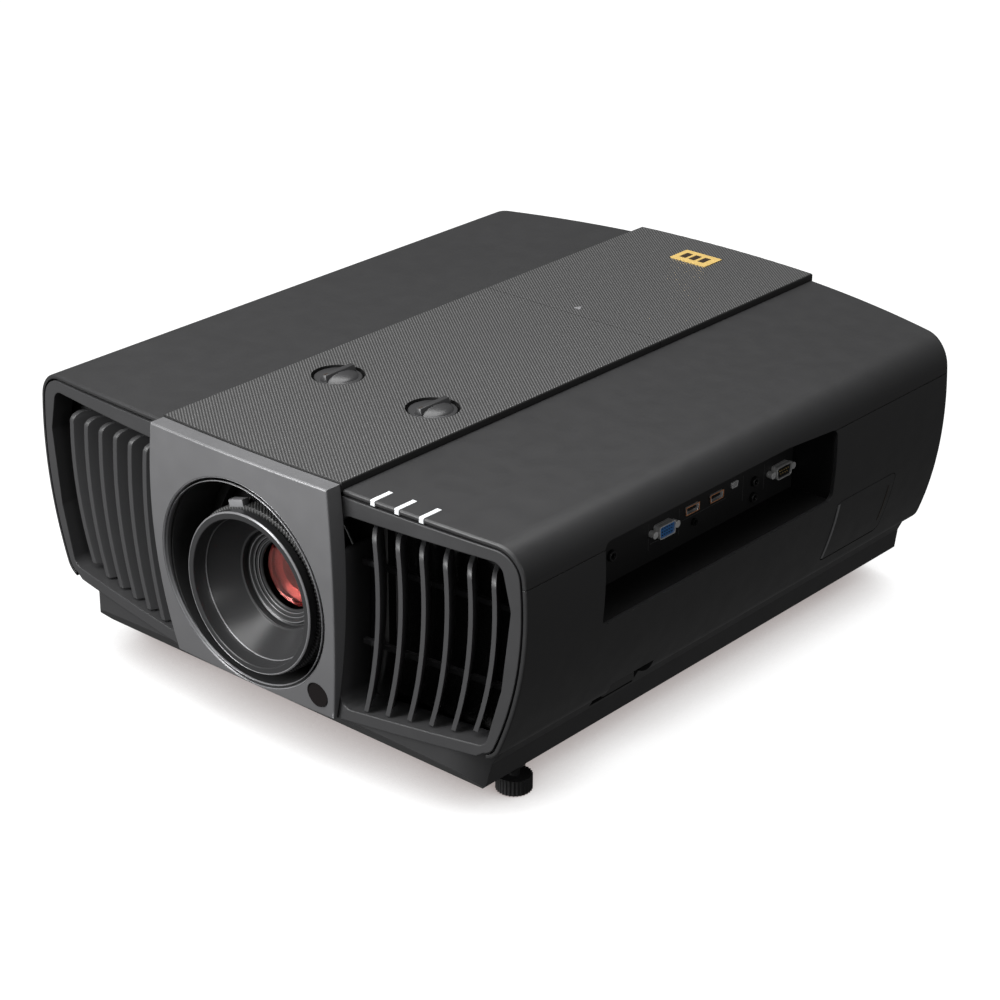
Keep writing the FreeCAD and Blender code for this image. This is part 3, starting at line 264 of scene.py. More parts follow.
def mesh_screen(name, tone, pitch=0.0016):
    """Woven dust mesh: crossed wires over dark holes."""
    shader = Shader(name)
    across = shader.waves(pitch, (0, 0, 0), "X")
    up = shader.waves(pitch, (0, 0, 0), "Z")
    wires = shader.maths("MAXIMUM", across, up)
    solid = shader.ramp(wires, 0.75, 0.95, 0, 1)
    shader.set(colour=shader.mix(solid, grey(0.001), grey(tone)), roughness=0.7)
    shader.relief(wires, 0.0002)
    return shader.material


def brushed(name, tone, roughness=0.3, tint=0.0):
    """Brushed or turned metal with fine lines along Y."""
    shader = Shader(name)
    lines = shader.noise(500.0, 3.0, shader.turned(scale=(1, 0.03, 1)))
    shader.set(colour=shader.mix(lines, grey(tone * 0.8, tint), grey(tone * 1.15, tint)), metallic=0.45,
               roughness=shader.ramp(lines, 0, 1, roughness * 0.8, roughness * 1.3))
    shader.relief(lines, 0.00002, 0.0004)
    return shader.material


def coated_glass(name, tint, roughness=0.004):
    """Coated glass with faint wipe marks in its gloss."""
    shader = Shader(name)
    wipe = shader.noise(140.0, 2.0, shader.turned(turn=(0, 0.5, 0.4), scale=(1, 1, 0.25)))
    shader.set(colour=tint + (1,), transmission=1.0, ior=1.5,
               roughness=shader.ramp(wipe, 0.3, 0.8, roughness, roughness * 3))
    return shader.material


def plated(name, colour, roughness=0.25):
    shader = Shader(name)
    spots = shader.noise(420.0, 3.0)
    dark = tuple(part * 0.8 for part in colour) + (1,)
    shader.set(colour=shader.mix(spots, dark, colour + (1,)), metallic=0.5,
               roughness=shader.ramp(spots, 0.3, 0.7, roughness * 0.8, roughness * 1.4))
    shader.relief(spots, 0.00001)
    return shader.material


def rings(name, bright, dark, pitch=0.0058):
    """Nested circles about the lens axis, fading dark to bright: painted reflections and shade of the
    elements behind a front glass.
    """
    shader = Shader(name)
    centre = shader.turned(shift=tuple(-LENS_AXIS), scale=(1, 0.12, 1))
    wave = shader.add("ShaderNodeTexWave", {"Scale": BAND_SCALE / pitch, "Distortion": 0.6},
                      wave_type="RINGS", rings_direction="SPHERICAL", wave_profile="SAW")
    shader.links.new(centre, wave.inputs["Vector"])
    # Each ring fades from the dark colour to the bright one: painted reflection and painted shade.
    fade = shader.ramp(wave.outputs["Fac"], 0.15, 0.95, 0, 1)
    shader.set(colour=shader.mix(fade, dark, bright), roughness=0.2, specular=0.2)
    shader.relief(wave.outputs["Fac"], 0.0002)
    return shader.material


def foam(name, tone):
    """Open filter foam: pale cells with dark pores."""
    shader = Shader(name)
    cells = shader.add("ShaderNodeTexVoronoi", {"Scale": 700.0})
    shader.links.new(shader.place, cells.inputs["Vector"])
    pores = cells.outputs["Distance"]
    shader.set(colour=shader.mix(pores, grey(tone * 0.3), grey(tone)), roughness=0.95, sheen=0.3)
    shader.relief(pores, 0.0006)
    return shader.material


def laminate(name, colour):
    """Circuit board: lacquered laminate with faint tracks."""
    shader = Shader(name)
    tracks = shader.maths("MULTIPLY", shader.waves(0.003, (0, 0, 0), "Y"),
                          shader.waves(0.0024, (0, 0, 0), "Z"))
    light = tuple(part * 1.9 for part in colour)
    share = shader.ramp(tracks, 0.4, 0.6, 0, 1)
    shader.set(colour=shader.mix(share, colour + (1,), light + (1,)), roughness=0.35, coat=0.4)
    shader.relief(tracks, 0.00003)
    return shader.material


def make_materials(look):
    shell = look.shell_tone
    made = {
        "cover": moulded("satin_black_cover", shell, 0.42),
        "rear_black": moulded("grained_rear", shell * 0.9, 0.5, grain=1500.0),
        "tray": moulded("grained_base", shell * 1.4, 0.46, grain=1500.0),
        "door": moulded("satin_door", shell, 0.42),
        "liner": moulded("matt_liner", shell * 0.2, 0.6, specular=0.25),
        "strip": woven_strip("woven_strip", look.strip_tone * 0.22, look.strip_tone * 1.8),
        "plate": moulded("metallic_grey_plate", tuple(look.plate_colour), 0.4, grain=3800.0, depth=0.00002,
                         metallic=0.55, edge=0.0009),
        "surround": moulded("smooth_black_trough", 0.022, 0.36),
        "ir_window": moulded("dark_window", (0.006, 0.005, 0.005), 0.14),
        "bezel": moulded("satin_black_frame", shell * 1.7, 0.42, edge=0.0012),
        "blade": moulded("satin_black_blade", shell * 2.0, 0.38, edge=0.0008),
        "screen": mesh_screen("dust_mesh", 0.012),
        "light_pipe": moulded("frosted_light_pipe", (0.5, 0.51, 0.52), 0.35, edge=0.0004),
        "socket_panel": moulded("socket_plate", shell * 0.62, 0.5),
        "connector_metal": brushed("bright_shell", 0.85, 0.25),
        "jack": moulded("black_jack", 0.006, 0.25),
        "filter": foam("filter_foam", 0.35),
        "steel": brushed("blackened_steel", 0.05, 0.35),
        "inlet": moulded("inlet_black", 0.012, 0.4),
        "rocker": moulded("rocker_black", 0.014, 0.22),
        "key_panel": moulded("key_panel_black", shell * 0.8, 0.4),
        "key": moulded("key_grey", 0.07, 0.45),
        "hood": moulded("hood_black", 0.022, 0.3, grain=2200.0),
        "ring": moulded("ring_black", 0.02, 0.4),
        "barrel": brushed("black_anodised", 0.05, 0.35),
        "lens_glass": coated_glass("coated_front_glass", (1.0, 0.42, 0.38)),
        "zoom_group": moulded("zoom_cell_black", 0.012, 0.3),
        "frame_metal": brushed("blackened_casting", 0.03, 0.5),
        "knob": moulded("satin_knob", shell * 1.5, 0.3, edge=0.0005),
        "engine": moulded("cast_engine", 0.2, 0.5, metallic=0.8),
        "heat_sink": brushed("extruded_fins", 0.3, 0.35),
        "wheel_glass": coated_glass("dichroic_glass", (0.6, 0.8, 0.95)),
        "motor": brushed("motor_can", 0.4, 0.3),
        "lamp_box": brushed("pressed_lamp_box", 0.5, 0.35),
        "bulb": plated("silvered_glass", (0.85, 0.85, 0.87), 0.08),
        "board": laminate("green_laminate", (0.01, 0.07, 0.025)),
        "fan": moulded("fan_black", 0.014, 0.4),
        "foot": moulded("foot_rubber", 0.012, 0.6, grain=900.0, depth=0.00006),
        "gold": plated("gold_foil", (0.86, 0.6, 0.2), 0.2),
    }
    made["grip"] = knurled("knurled_grip", 0.045)
    # Lighter finish of the opening mark, which is a print, and of thin rings at the hood, throat and plate
    # opening edges, which are painted highlights.
    made["mark_and_painted_highlight"] = moulded("light_mark_and_painted_edge_highlight", 0.22, 0.3, metallic=0.4)
    made["tab"] = moulded("grey_tab", 0.16, 0.4)
    made["blue_insert"] = moulded("blue_insert", (0.04, 0.16, 0.42), 0.35, edge=0.0002)
    made["pin_gold"] = plated("pin_gold", (0.95, 0.7, 0.3), 0.25)
    made["copper_shell"] = plated("copper_shell", (0.95, 0.42, 0.2), 0.3)
    made["black_insert"] = moulded("black_insert", 0.01, 0.4)
    made["mark_white"] = moulded("printed_white", (0.5, 0.5, 0.5), 0.5)
    made["mark_dark"] = moulded("printed_dark", (0.02, 0.012, 0.006), 0.4)
    # Red of the element deep in the lens, with bright and dark rings: painted reflections of its coatings and
    # painted shade.
    made["painted_red_reflection"] = rings("painted_red_lens_reflection", (0.5, 0.014, 0.008, 1), (0.05, 0.001, 0.002, 1))
    # Pale pinkish tone of the inner lens cells: a painted reflection.
    made["painted_pale_reflection"] = moulded("painted_pale_lens_reflection", (0.16, 0.13, 0.14), 0.15)
    materials.update(made)


# ---------------------------------------------------------------- mesh makers
def mesh_object(bm, name):
    """Put a bmesh into a new object of the scene, and free it."""
    mesh = bpy.data.meshes.new(name)
    bm.to_mesh(mesh)
    bm.free()
    made = bpy.data.objects.new(name, mesh)
    bpy.context.scene.collection.objects.link(made)
    return made


def finish_piece(bm, name, body, slot, material=None, smooth=35.0):
    """Turn a bmesh in millimetres into a piece in the frame, in metres."""
    bmesh.ops.remove_doubles(bm, verts=bm.verts, dist=0.0005)
    bmesh.ops.recalc_face_normals(bm, faces=bm.faces)
    bmesh.ops.scale(bm, vec=(MM, MM, MM), verts=bm.verts)
    piece = mesh_object(bm, name)
    mesh = piece.data
    mesh.materials.append(materials[material or slot])
    mesh.shade_smooth()
    mesh.set_sharp_from_angle(angle=math.radians(smooth))
    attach(piece, body)
    return piece


def edge_loop(bm, points):
    verts = [bm.verts.new(point) for point in points]
    edges = [bm.edges.new(pair) for pair in zip(verts, verts[1:] + verts[:1])]
    return verts, edges


def lathe(bm, profile, centre, steps=96):
    """Spin a closed outline of (radius, y) pairs about a line along Y; lengths in millimetres."""
    verts, edges = edge_loop(bm, [(radius + centre[0], y, centre[2]) for radius, y in profile])
    bmesh.ops.spin(bm, geom=verts + edges, cent=(centre[0], 0, centre[2]), axis=ABOUT_Y,
                   angle=math.tau, steps=steps, use_merge=True, use_duplicate=False)
    return bm


def round_edges(bm, edges, width, segments=2, clamp=False):
    bmesh.ops.bevel(bm, geom=edges, offset=width, offset_type="OFFSET", segments=segments, profile=0.5,
                    affect="EDGES", material=-1, clamp_overlap=clamp)


def edges_at(verts):
    """Every edge that meets one of these vertices."""
    return list({edge for vert in verts for edge in vert.link_edges})


def slab(bm, low, high, bevel=0.0):
    """A block between two corners with rounded edges."""
    low, high = Vector(low), Vector(high)
    made = bmesh.ops.create_cube(bm, size=1.0, matrix=Matrix.Translation((low + high) / 2)
                                 @ Matrix.Diagonal((*(high - low), 1)))
    if bevel:
        round_edges(bm, edges_at(made["verts"]), bevel, clamp=True)
    return made["verts"]


def rod(bm, centre, radius, length, axis="Z", segments=24):
    """A round bar about its centre, along one axis."""
    turn = {"X": Matrix.Rotation(math.pi / 2, 4, "Y"), "Y": Matrix.Rotation(-math.pi / 2, 4, "X"),
            "Z": Matrix.Identity(4)}[axis]
    bmesh.ops.create_cone(bm, cap_ends=True, segments=segments, radius1=radius, radius2=radius,
                          depth=length, matrix=Matrix.Translation(centre) @ turn)


def softened_copy(node, name, width, segments=2, limit=40.0):
    """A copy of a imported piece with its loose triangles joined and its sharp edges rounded."""
    source = frame["nodes"][node]
    bm = bmesh.new()
    bm.from_mesh(source.data)
    bmesh.ops.remove_doubles(bm, verts=bm.verts, dist=0.000004)
    bmesh.ops.dissolve_limit(bm, angle_limit=math.radians(1.0), verts=bm.verts, edges=bm.edges,
                             use_dissolve_boundaries=False, delimit=set())
    piece = mesh_object(bm, name)
    mesh = piece.data
    mesh.materials.append(materials[SLOT_OF[node]])
    rounding = piece.modifiers.new("rounding", "BEVEL")
    rounding.width = width
    rounding.segments = segments
    rounding.limit_method = "ANGLE"
    rounding.angle_limit = math.radians(limit)
    rounding.use_clamp_overlap = True
    rounding.harden_normals = False
    mesh.shade_smooth()
    mesh.set_sharp_from_angle(angle=math.radians(limit))
    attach(piece, source["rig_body"])
    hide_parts(node)
    return piece


# ---------------------------------------------------------------- settings
class ProjectorLook(bpy.types.PropertyGroup):
    """Tones and counts that a user would change."""
    shell_tone: FloatProperty(name="Shell tone", description="How light the black covers are",
                              subtype="FACTOR", default=0.0165, min=0.0, max=1.0)
    strip_tone: FloatProperty(name="Strip tone", description="How light the woven centre strip is",
                              subtype="FACTOR", default=0.07, min=0.0, max=1.0)
    plate_colour: FloatVectorProperty(name="Plate colour", description="Colour of the metallic lens plate",
                                      subtype="COLOR", default=(0.15, 0.15, 0.154), min=0.0, max=1.0)
    lens_steps: IntProperty(name="Lens steps", description="Facets round each turned lens piece",
                            subtype="UNSIGNED", default=128, min=24, max=256)
    foot_teeth: IntProperty(name="Foot teeth", description="Grip notches round a levelling foot",
                            subtype="UNSIGNED", default=30, min=8, max=60)


class StageLook(bpy.types.PropertyGroup):
    """Camera and light."""
    lens_length: FloatProperty(name="Lens length", description="Focal length of the camera, in millimetres",
                               unit="CAMERA", default=95.7, min=20.0, max=300.0)
    azimuth: FloatProperty(name="Azimuth", description="Camera's turn round the object", subtype="ANGLE",
                           default=math.radians(40.85))
    elevation: FloatProperty(name="Elevation", description="Camera's height above the horizon",
                             subtype="ANGLE", default=math.radians(24.85))
    key_power: FloatProperty(name="Key power", description="Strength of the large overhead light, in watts",
                             unit="POWER", default=150.0, min=0.0)


# ---------------------------------------------------------------- operators
class PROJECTOR_OT_finishes(bpy.types.Operator):
    """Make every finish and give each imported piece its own"""
    bl_idname = "projector.finishes"
    bl_label = "Finishes"

    def execute(self, context):
        make_materials(context.scene.projector_look)
        for name, node in frame["nodes"].items():
            node.data.materials.clear()
            node.data.materials.append(materials[SLOT_OF[name]])
            node.data.shade_smooth()
        return {"FINISHED"}


class PROJECTOR_OT_covers(bpy.types.Operator):
    """Add the small opening mark on the cover of the strip"""
    bl_idname = "projector.covers"
    bl_label = "Covers"

    def execute(self, context):
        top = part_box("strip_rear_cover")[1].z / MM
        bm = bmesh.new()
        rod(bm, (-3, 90, top + 0.1), 3.6, 0.5, "Z", segments=3)
        finish_piece(bm, "opening_mark", "casing", "strip", "mark_and_painted_highlight")
        return {"FINISHED"}


class PROJECTOR_OT_grilles(bpy.types.Operator):
    """Replace the frames and blades of the grilles with rounded ones"""
    bl_idname = "projector.grilles"
    bl_label = "Grilles"

    def execute(self, context):
        for side in ("left", "right"):
            softened_copy(f"grille_blades_{side}", f"rounded_blades_{side}", 0.0014, 3)
            softened_copy(f"front_bezel_{side}", f"rounded_frame_{side}", 0.0016, 3)
        return {"FINISHED"}


class PROJECTOR_OT_lens(bpy.types.Operator):
    """Turn the hood, the glass and the rings of the lens"""
    bl_idname = "projector.lens"
    bl_label = "Lens"

    def execute(self, context):
        steps = context.scene.projector_look.lens_steps
        axis = LENS_AXIS / MM
        bm = lathe(bmesh.new(), HOOD_OUTLINE, axis, steps)
        piece = finish_piece(bm, "turned_hood", "hood", "hood", smooth=28)
        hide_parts("lens_hood")
        # Thin lighter rings on the hood's rim and mouth: painted edge highlights.
        for name, outline in (("hood_rim_painted_highlight", RIM_HIGHLIGHT), ("hood_mouth_painted_highlight", MOUTH_HIGHLIGHT)):
            bm = lathe(bmesh.new(), outline, axis, steps)
            finish_piece(bm, name, "hood", "hood", "mark_and_painted_highlight")
        throat = bmesh.new()
        for k in range(4):
            outer, front = 34.3 - 2.2 * k, -235.2 + 1.3 * k
            step = [(outer, front), (outer, front + 1.2), (outer - 2.3, front + 1.2), (outer - 1.4, front)]
            lathe(throat, step, axis, steps)
        finish_piece(throat, "stepped_throat", "hood", "hood", "ring", smooth=20)
        # Lighter rings on the throat's step edges: painted highlights.
        bright = bmesh.new()
        for radius, front in THROAT_HIGHLIGHTS:
            line = [(radius, front), (radius + 0.5, front - 0.15), (radius + 0.5, front + 0.3)]
            lathe(bright, line, axis, steps)
        finish_piece(bright, "throat_painted_highlights", "hood", "hood", "mark_and_painted_highlight")
        glass = bmesh.new()
        arc = [(26.6 * math.sin(math.radians(a)), -232.4 + 13.0 * (1 - math.cos(math.radians(a))) * 0.8)
               for a in range(0, 91, 6)]
        outline = [(max(radius, 0.001), y) for radius, y in arc] + [(26.6, -219.5), (0.001, -219.5)]
        lathe(glass, outline, axis, steps)
        piece = finish_piece(glass, "domed_front_glass", "hood", "lens_glass", smooth=50)
        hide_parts("front_lens")
        # The inner cells take a pale tone that is a painted reflection.
        cell = bmesh.new()
        for outer, inner, front in INNER_CELLS:
            wall = [(outer, front), (outer, front + 4), (inner, front + 5), (inner, front + 1)]
            lathe(cell, wall, axis, 64)
        finish_piece(cell, "inner_cells", "cross", "barrel", "painted_pale_reflection")
        # A flattened red ball stands for the coated elements deep in the lens; its red and its rings are
        # painted reflection and shade.
        red = bmesh.new()
        flattened = Matrix.Translation((0, -195.5, axis.z)) @ Matrix.Diagonal((1, 0.62, 1, 1))
        bmesh.ops.create_uvsphere(red, u_segments=48, v_segments=24, radius=18.5, matrix=flattened)
        finish_piece(red, "red_painted_reflection_element", "cross", "barrel", "painted_red_reflection", smooth=60)
        return {"FINISHED"}


class PROJECTOR_OT_focus_ring(bpy.types.Operator):
    """Turn the knurled focus ring and its tab"""
    bl_idname = "projector.focus_ring"
    bl_label = "Focus ring"

    def execute(self, context):
        steps = context.scene.projector_look.lens_steps
        axis = LENS_AXIS / MM
        bm = lathe(bmesh.new(), FOCUS_RING_OUTLINE, axis, steps)
        layer = bm.loops.layers.uv.new("grip")
        for face in bm.faces:
            middle = face.calc_center_median() - axis
            around = math.atan2(middle.x, middle.z)
            for loop in face.loops:
                reach = loop.vert.co - axis
                angle = math.atan2(reach.x, reach.z)
                angle += math.tau * round((around - angle) / math.tau)
                loop[layer].uv = (angle * FOCUS_RING_RADIUS * MM, loop.vert.co.y * MM)
        ring = finish_piece(bm, "knurled_focus_ring", "focus", "ring", "grip")
        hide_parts("focus_ring")
        tab = bmesh.new()
        slab(tab, (-7.2, -261.6, 60.5), (7.2, -254.8, 66.0), 0.6)
        turn = Matrix.Translation((0, 0, axis.z)) @ Matrix.Rotation(math.radians(-16), 4, "Y")
        bmesh.ops.transform(tab, matrix=turn, verts=tab.verts)
        finish_piece(tab, "focus_tab", "focus", "ring", "tab")
        return {"FINISHED"}


class PROJECTOR_OT_aperture(bpy.types.Operator):
    """Fit thin lighter rings round the opening of the lens plate: painted highlights on its chamfer edges"""
    bl_idname = "projector.aperture"
    bl_label = "Aperture rings"

    def execute(self, context):
        steps = context.scene.projector_look.lens_steps
        axis = APERTURE_AXIS / MM
        # Each ring is a lighter band flush with the plate: a painted highlight on a chamfer edge.
        for name, outer, inner in (("outer_chamfer_painted_highlight", 79.4, 78.4), ("inner_chamfer_painted_highlight", 76.6, 75.9)):
            outline = [(outer, 1.6), (outer, 0.3), (outer - 0.3, 0), (inner + 0.3, 0.5), (inner, 1.6)]
            bm = lathe(bmesh.new(), outline, axis, steps)
            for vert in bm.verts:
                rise = vert.co.z - PLATE_CREST_Z
                fall = rise * rise / (2 * PLATE_UPRIGHT_RADIUS) + vert.co.x ** 2 / (2 * PLATE_PLAN_RADIUS)
                vert.co.y -= PLATE_FRONT - fall
            finish_piece(bm, name, "casing", "plate", "mark_and_painted_highlight")
        return {"FINISHED"}


class PROJECTOR_OT_knobs(bpy.types.Operator):
    """Shape the two lens shift knobs with their finger scoops and pointers"""
    bl_idname = "projector.knobs"
    bl_label = "Shift knobs"

    def execute(self, context):
        for x, name, body in ((-KNOB_X, "height_shift_knob", "height_knob"),
                              (KNOB_X, "side_shift_knob", "side_knob")):
            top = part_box(name)[1].z / MM
            floor = top - RIDGE_HEIGHT
            bm = bmesh.new()
            rod(bm, (x, KNOB_Y, floor + 1.6), KNOB_RADIUS, 3.6, "Z", segments=72)
            rim = [edge for edge in bm.edges if all(vert.co.z > floor + 2.8 for vert in edge.verts)]
            round_edges(bm, rim, 0.8)
            ridge = slab(bm, (x - RIDGE_HALF_WIDTH, KNOB_Y - RIDGE_HALF_LENGTH, floor + 2.0),
                         (x + RIDGE_HALF_WIDTH, KNOB_Y + RIDGE_HALF_LENGTH, top))
            upper = [vert for vert in ridge if vert.co.z > floor + 3]
            bmesh.ops.scale(bm, vec=(0.5, 0.97, 1), verts=upper, space=Matrix.Translation((-x, -KNOB_Y, 0)))
            dome = (Matrix.Translation((x, KNOB_Y, floor + 2.2))
                    @ Matrix.Diagonal((15.2, 15.4, top - floor - 3.4, 1)))
            scoop = bmesh.ops.create_uvsphere(bm, u_segments=40, v_segments=20, radius=1.0, matrix=dome)
            unused = [vert for vert in scoop["verts"] if vert.co.x < x + 1.5 or vert.co.z < floor + 2.6]
            bmesh.ops.delete(bm, geom=unused, context="VERTS")
            round_edges(bm, edges_at(ridge), 0.5)
            rod(bm, (x, KNOB_Y, top - 19), 4.3, 26, "Z", segments=32)
            knob = finish_piece(bm, f"scooped_{name}", body, "knob")
            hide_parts(name)
            pointer = bmesh.new()
            slab(pointer, (x - 0.5, KNOB_Y - 14.6, top - 0.6), (x + 0.5, KNOB_Y - 10.4, top + 0.02))
            finish_piece(pointer, f"pointer_{body}", body, "knob", "mark_dark")
        return {"FINISHED"}


class PROJECTOR_OT_sockets(bpy.types.Operator):
    """Fill the sockets of the side bay with their inserts, pins and outlines"""
    bl_idname = "projector.sockets"
    bl_label = "Sockets"

    def execute(self, context):
        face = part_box("socket_panel")[1].x / MM
        for name, y, z, rows, material in D_SOCKETS:
            bm = bmesh.new()
            verts = slab(bm, (face - 1, y - 8.6, z - 4.2), (face + 4.4, y + 8.6, z + 4.2))
            low = [vert for vert in verts if vert.co.z < z]
            bmesh.ops.scale(bm, vec=(1, 0.9, 1), verts=low, space=Matrix.Translation((0, -y, 0)))
            lengthwise = [e for e in bm.edges if abs(e.verts[0].co.x - e.verts[1].co.x) > 1]
            round_edges(bm, lengthwise, 1.4, 3)
            finish_piece(bm, f"{name}_insert", "casing", "connector_metal", material)
            pins = bmesh.new()
            for row in range(rows):
                full = rows == 3 or row
                for k in range(5 if full else 4):
                    along = k - 2 if full else k - 1.5
                    place = (face + 4.6, y + along * 2.6, z + (row - (rows - 1) / 2) * 2.4)
                    rod(pins, place, 0.42, 0.8, "X", segments=8)
            finish_piece(pins, f"{name}_contacts", "casing", "connector_metal",
                         "mark_dark" if rows == 3 else "pin_gold")
        for k, (y, z) in enumerate(DIGITAL_SOCKETS):
            bm = bmesh.new()
            slab(bm, (face - 6, y - 5.2, z - 0.7), (face + 0.3, y + 5.2, z + 0.9), 0.25)
            finish_piece(bm, f"digital_tongue_{k}", "casing", "connector_metal", "black_insert")
            rim = bmesh.new()
            for low, high in (((y - 7.4, z - 3.1), (y + 7.4, z - 2.5)),
                              ((y - 7.9, z + 2.6), (y + 7.9, z + 3.2)),
                              ((y - 7.9, z - 2.6), (y - 7.3, z + 2.7)),
                              ((y + 7.3, z - 2.6), (y + 7.9, z + 2.7))):
                slab(rim, (face + 0.8, *low), (face + 1.3, *high), 0.15)
            finish_piece(rim, f"digital_rim_{k}", "casing", "connector_metal", "copper_shell")
        marks = bmesh.new()
        for y, z, wide in UNDERLINES:
            slab(marks, (face, y - wide / 2, z), (face + 0.12, y + wide / 2, z + 0.35))
        for y in DIVIDERS:
            slab(marks, (face, y, 143.0), (face + 0.12, y + 0.35, 163.0))
        finish_piece(marks, "panel_outlines", "casing", "socket_panel", "key")
        collars = bmesh.new()
        for y, z, radius in JACKS:
            verts, edges = edge_loop(collars, [
                (face + 2.0, y + radius - 0.1, z), (face + 2.6, y + radius - 0.6, z),
                (face + 2.6, y + radius - 1.2, z), (face + 2.0, y + radius - 1.4, z)])
            bmesh.ops.spin(collars, geom=verts + edges, cent=(0, y, z), axis=ABOUT_X, angle=math.tau,
                           steps=32, use_merge=True, use_duplicate=False)
        finish_piece(collars, "jack_collars", "casing", "jack", "ring")
        return {"FINISHED"}


class PROJECTOR_OT_badge(bpy.types.Operator):
    """Emboss a plain geometric pattern on the gold plate"""
    bl_idname = "projector.badge"
    bl_label = "Gold plate"

    def execute(self, context):
        low, high = (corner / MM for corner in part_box("gold_plate"))
        bm = bmesh.new()
        middle = (low + high) / 2
        for k in range(3):
            start = low.x + 5 + 9 * k
            slab(bm, (start, middle.y - 5.5, high.z - 0.3), (start + 6, middle.y + 5.5, high.z + 0.05))
        finish_piece(bm, "badge_pattern", "casing", "gold", "mark_dark")
        return {"FINISHED"}


class PROJECTOR_OT_door(bpy.types.Operator):
    """Add the pale grip line and the slot of the filter door"""
    bl_idname = "projector.door"
    bl_label = "Filter door"

    def execute(self, context):
        def side(z, out):
            drop = z - SIDE_CENTRE_Z
            return SIDE_CENTRE_X + math.sqrt((SIDE_RADIUS + out) ** 2 - drop * drop)

        for name, y, z_low, z_high, wide, material in (("door_grip", 107.6, 76.5, 124.5, 2.6, "tab"),
                                                       ("door_slot", 177.0, 85, 116, 1.4, "mark_dark")):
            bm = bmesh.new()
            rows = 12
            previous = None
            for k in range(rows + 1):
                z = z_low + (z_high - z_low) * k / rows
                inner, outer = side(z, -0.6), side(z, 0.25)
                row = [bm.verts.new((x, across, z)) for x, across in (
                    (inner, y), (outer, y), (outer, y + wide), (inner, y + wide))]
                if previous:
                    for a in range(4):
                        b = (a + 1) % 4
                        bm.faces.new((previous[a], previous[b], row[b], row[a]))
                else:
                    bm.faces.new(row)
                previous = row
            bm.faces.new(previous)
            finish_piece(bm, name, "door", "door", material)
        return {"FINISHED"}


class PROJECTOR_OT_feet(bpy.types.Operator):
    """Cut grip notches round the levelling feet"""
    bl_idname = "projector.feet"
    bl_label = "Feet"

    def execute(self, context):
        teeth = context.scene.projector_look.foot_teeth
        for side, (across, y), body, node in (
                (-1, FRONT_FEET, "foot_left", "front_left_foot"),
                (1, FRONT_FEET, "foot_right", "front_right_foot"),
                (-1, REAR_FEET, "casing", "rear_feet"),
                (1, REAR_FEET, "casing", "rear_feet")):
            x = side * across

            def bearing(face):
                middle = face.calc_center_median()
                return math.atan2(middle.y - y, middle.x - x)

            bm = bmesh.new()
            rod(bm, (x, y, 6.3), FOOT_RADIUS, 11.4, "Z", segments=teeth * 4)
            walls = [face for face in bm.faces if abs(face.normal.z) < 0.5]
            walls.sort(key=bearing)
            for k, face in enumerate(walls):
                if k % 4 < 2:
                    for vert in face.verts:
                        away = Vector((vert.co.x - x, vert.co.y - y, 0))
                        if away.length > FOOT_RADIUS - NOTCH_DEPTH / 2:
                            vert.co -= away.normalized() * NOTCH_DEPTH
            rod(bm, (x, y, 0.6), 11.0, 1.2, "Z", segments=48)
            rod(bm, (x, y, 28), 4.0, 34, "Z", segments=24)
            hand = "left" if x < 0 else "right"
            end = "front" if y < 0 else "rear"
            foot = finish_piece(bm, f"notched_foot_{end}_{hand}", body, "foot")
            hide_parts(node)
        return {"FINISHED"}


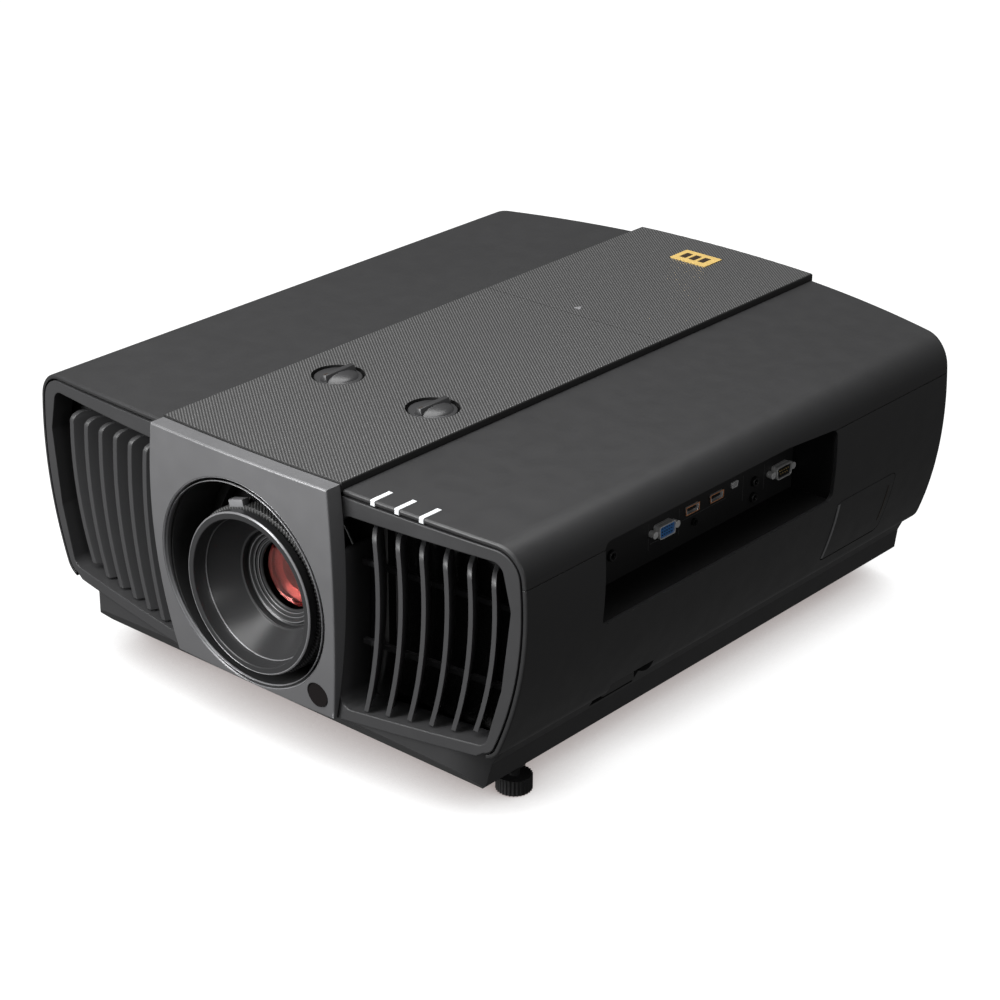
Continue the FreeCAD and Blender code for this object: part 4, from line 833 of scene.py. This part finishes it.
class PROJECTOR_OT_stage(bpy.types.Operator):
    """Lay the pale floor with its painted contact shadow, hang the lights and place the camera"""
    bl_idname = "projector.stage"
    bl_label = "Stage"

    def execute(self, context):
        look = context.scene.projector_stage
        scene = context.scene
        scene.view_settings.view_transform = "Standard"
        bm = bmesh.new()
        bmesh.ops.create_grid(bm, x_segments=2, y_segments=2, size=9.0)
        floor = mesh_object(bm, "floor")
        shader = Shader("pale_floor")
        # The floor's glow is dimmed and warmed where ambient occlusion finds the body close: a painted
        # contact shadow.
        near = shader.add("ShaderNodeAmbientOcclusion", {"Distance": 0.07}, samples=16).outputs["AO"]
        painted_contact_shadow = shader.mix(shader.ramp(near, 0.08, 0.62, 0, 1), (0.28, 0.235, 0.225, 1), (1, 1, 1, 1))
        shader.set(colour=(0.1, 0.1, 0.1, 1), roughness=0.75, specular=0.1, emission=painted_contact_shadow, glow=0.97)
        floor.data.materials.append(shader.material)
        floor.visible_diffuse = False
        floor.visible_glossy = False

        world = scene.world or bpy.data.worlds.new("soft_surround")
        scene.world = world
        world.use_nodes = True
        sky = world.node_tree.nodes["Background"]
        sky.inputs["Color"].default_value = (1, 1, 1, 1)
        sky.inputs["Strength"].default_value = 0.12

        def softbox(name, place, aim, wide, tall, power, colour=(1, 1, 1)):
            data = bpy.data.lights.new(name, "AREA")
            data.shape = "RECTANGLE"
            data.size = wide
            data.size_y = tall
            data.energy = power
            data.color = colour
            light = bpy.data.objects.new(name, data)
            scene.collection.objects.link(light)
            light.location = place
            light.rotation_euler = (Vector(aim) - Vector(place)).to_track_quat("-Z", "Y").to_euler()

        softbox("overhead", (-0.2, -0.1, 2.6), (0, 0, 0.1), 3.0, 2.4, look.key_power)
        softbox("front", (-0.9, -2.6, 0.9), (0, 0, 0.12), 1.4, 1.2, 105)
        softbox("front_top", (-0.3, -1.2, 1.1), (-0.1, -0.2, 0.2), 0.6, 0.4, 14)
        softbox("right", (2.6, -0.9, 1.0), (0.1, 0, 0.14), 0.9, 0.5, 9)

        data = bpy.data.cameras.new("camera")
        data.lens = look.lens_length
        data.sensor_width = 36
        data.clip_end = 60
        camera = bpy.data.objects.new("camera", data)
        scene.collection.objects.link(camera)
        roll = math.radians(0.35)
        camera.matrix_world = (Matrix.Translation((1.2016, -1.3940, 0.9471))
                               @ Matrix.Rotation(look.azimuth, 4, "Z")
                               @ Matrix.Rotation(math.pi / 2 - look.elevation, 4, "X")
                               @ Matrix.Rotation(roll, 4, "Z"))
        scene.camera = camera
        return {"FINISHED"}


PIECES = (PROJECTOR_OT_finishes, PROJECTOR_OT_covers, PROJECTOR_OT_grilles, PROJECTOR_OT_aperture,
          PROJECTOR_OT_lens, PROJECTOR_OT_focus_ring, PROJECTOR_OT_knobs, PROJECTOR_OT_sockets,
          PROJECTOR_OT_badge, PROJECTOR_OT_door, PROJECTOR_OT_feet, PROJECTOR_OT_stage)


class PROJECTOR_PT_panel(bpy.types.Panel):
    """Lists the projector's pieces"""
    bl_label = "Projector"
    bl_idname = "PROJECTOR_PT_panel"
    bl_space_type = "VIEW_3D"
    bl_region_type = "UI"
    bl_category = "Projector"

    def draw(self, context):
        for group in (context.scene.projector_look, context.scene.projector_stage):
            for key in group.__annotations__:
                self.layout.prop(group, key)
        for piece in PIECES:
            self.layout.operator(piece.bl_idname)


CLASSES = (ProjectorLook, StageLook) + PIECES + (PROJECTOR_PT_panel,)


def register():
    for item in CLASSES:
        bpy.utils.register_class(item)
    bpy.types.Scene.projector_look = PointerProperty(type=ProjectorLook)
    bpy.types.Scene.projector_stage = PointerProperty(type=StageLook)


def unregister():
    del bpy.types.Scene.projector_stage
    del bpy.types.Scene.projector_look
    for item in reversed(CLASSES):
        bpy.utils.unregister_class(item)


def main():
    register()
    bpy.ops.projector.finishes()
    bpy.ops.projector.covers()
    bpy.ops.projector.grilles()
    bpy.ops.projector.aperture()
    bpy.ops.projector.lens()
    bpy.ops.projector.focus_ring()
    bpy.ops.projector.knobs()
    bpy.ops.projector.sockets()
    bpy.ops.projector.badge()
    bpy.ops.projector.door()
    bpy.ops.projector.feet()
    bpy.ops.projector.stage()


if __name__ == "__main__":
    main()
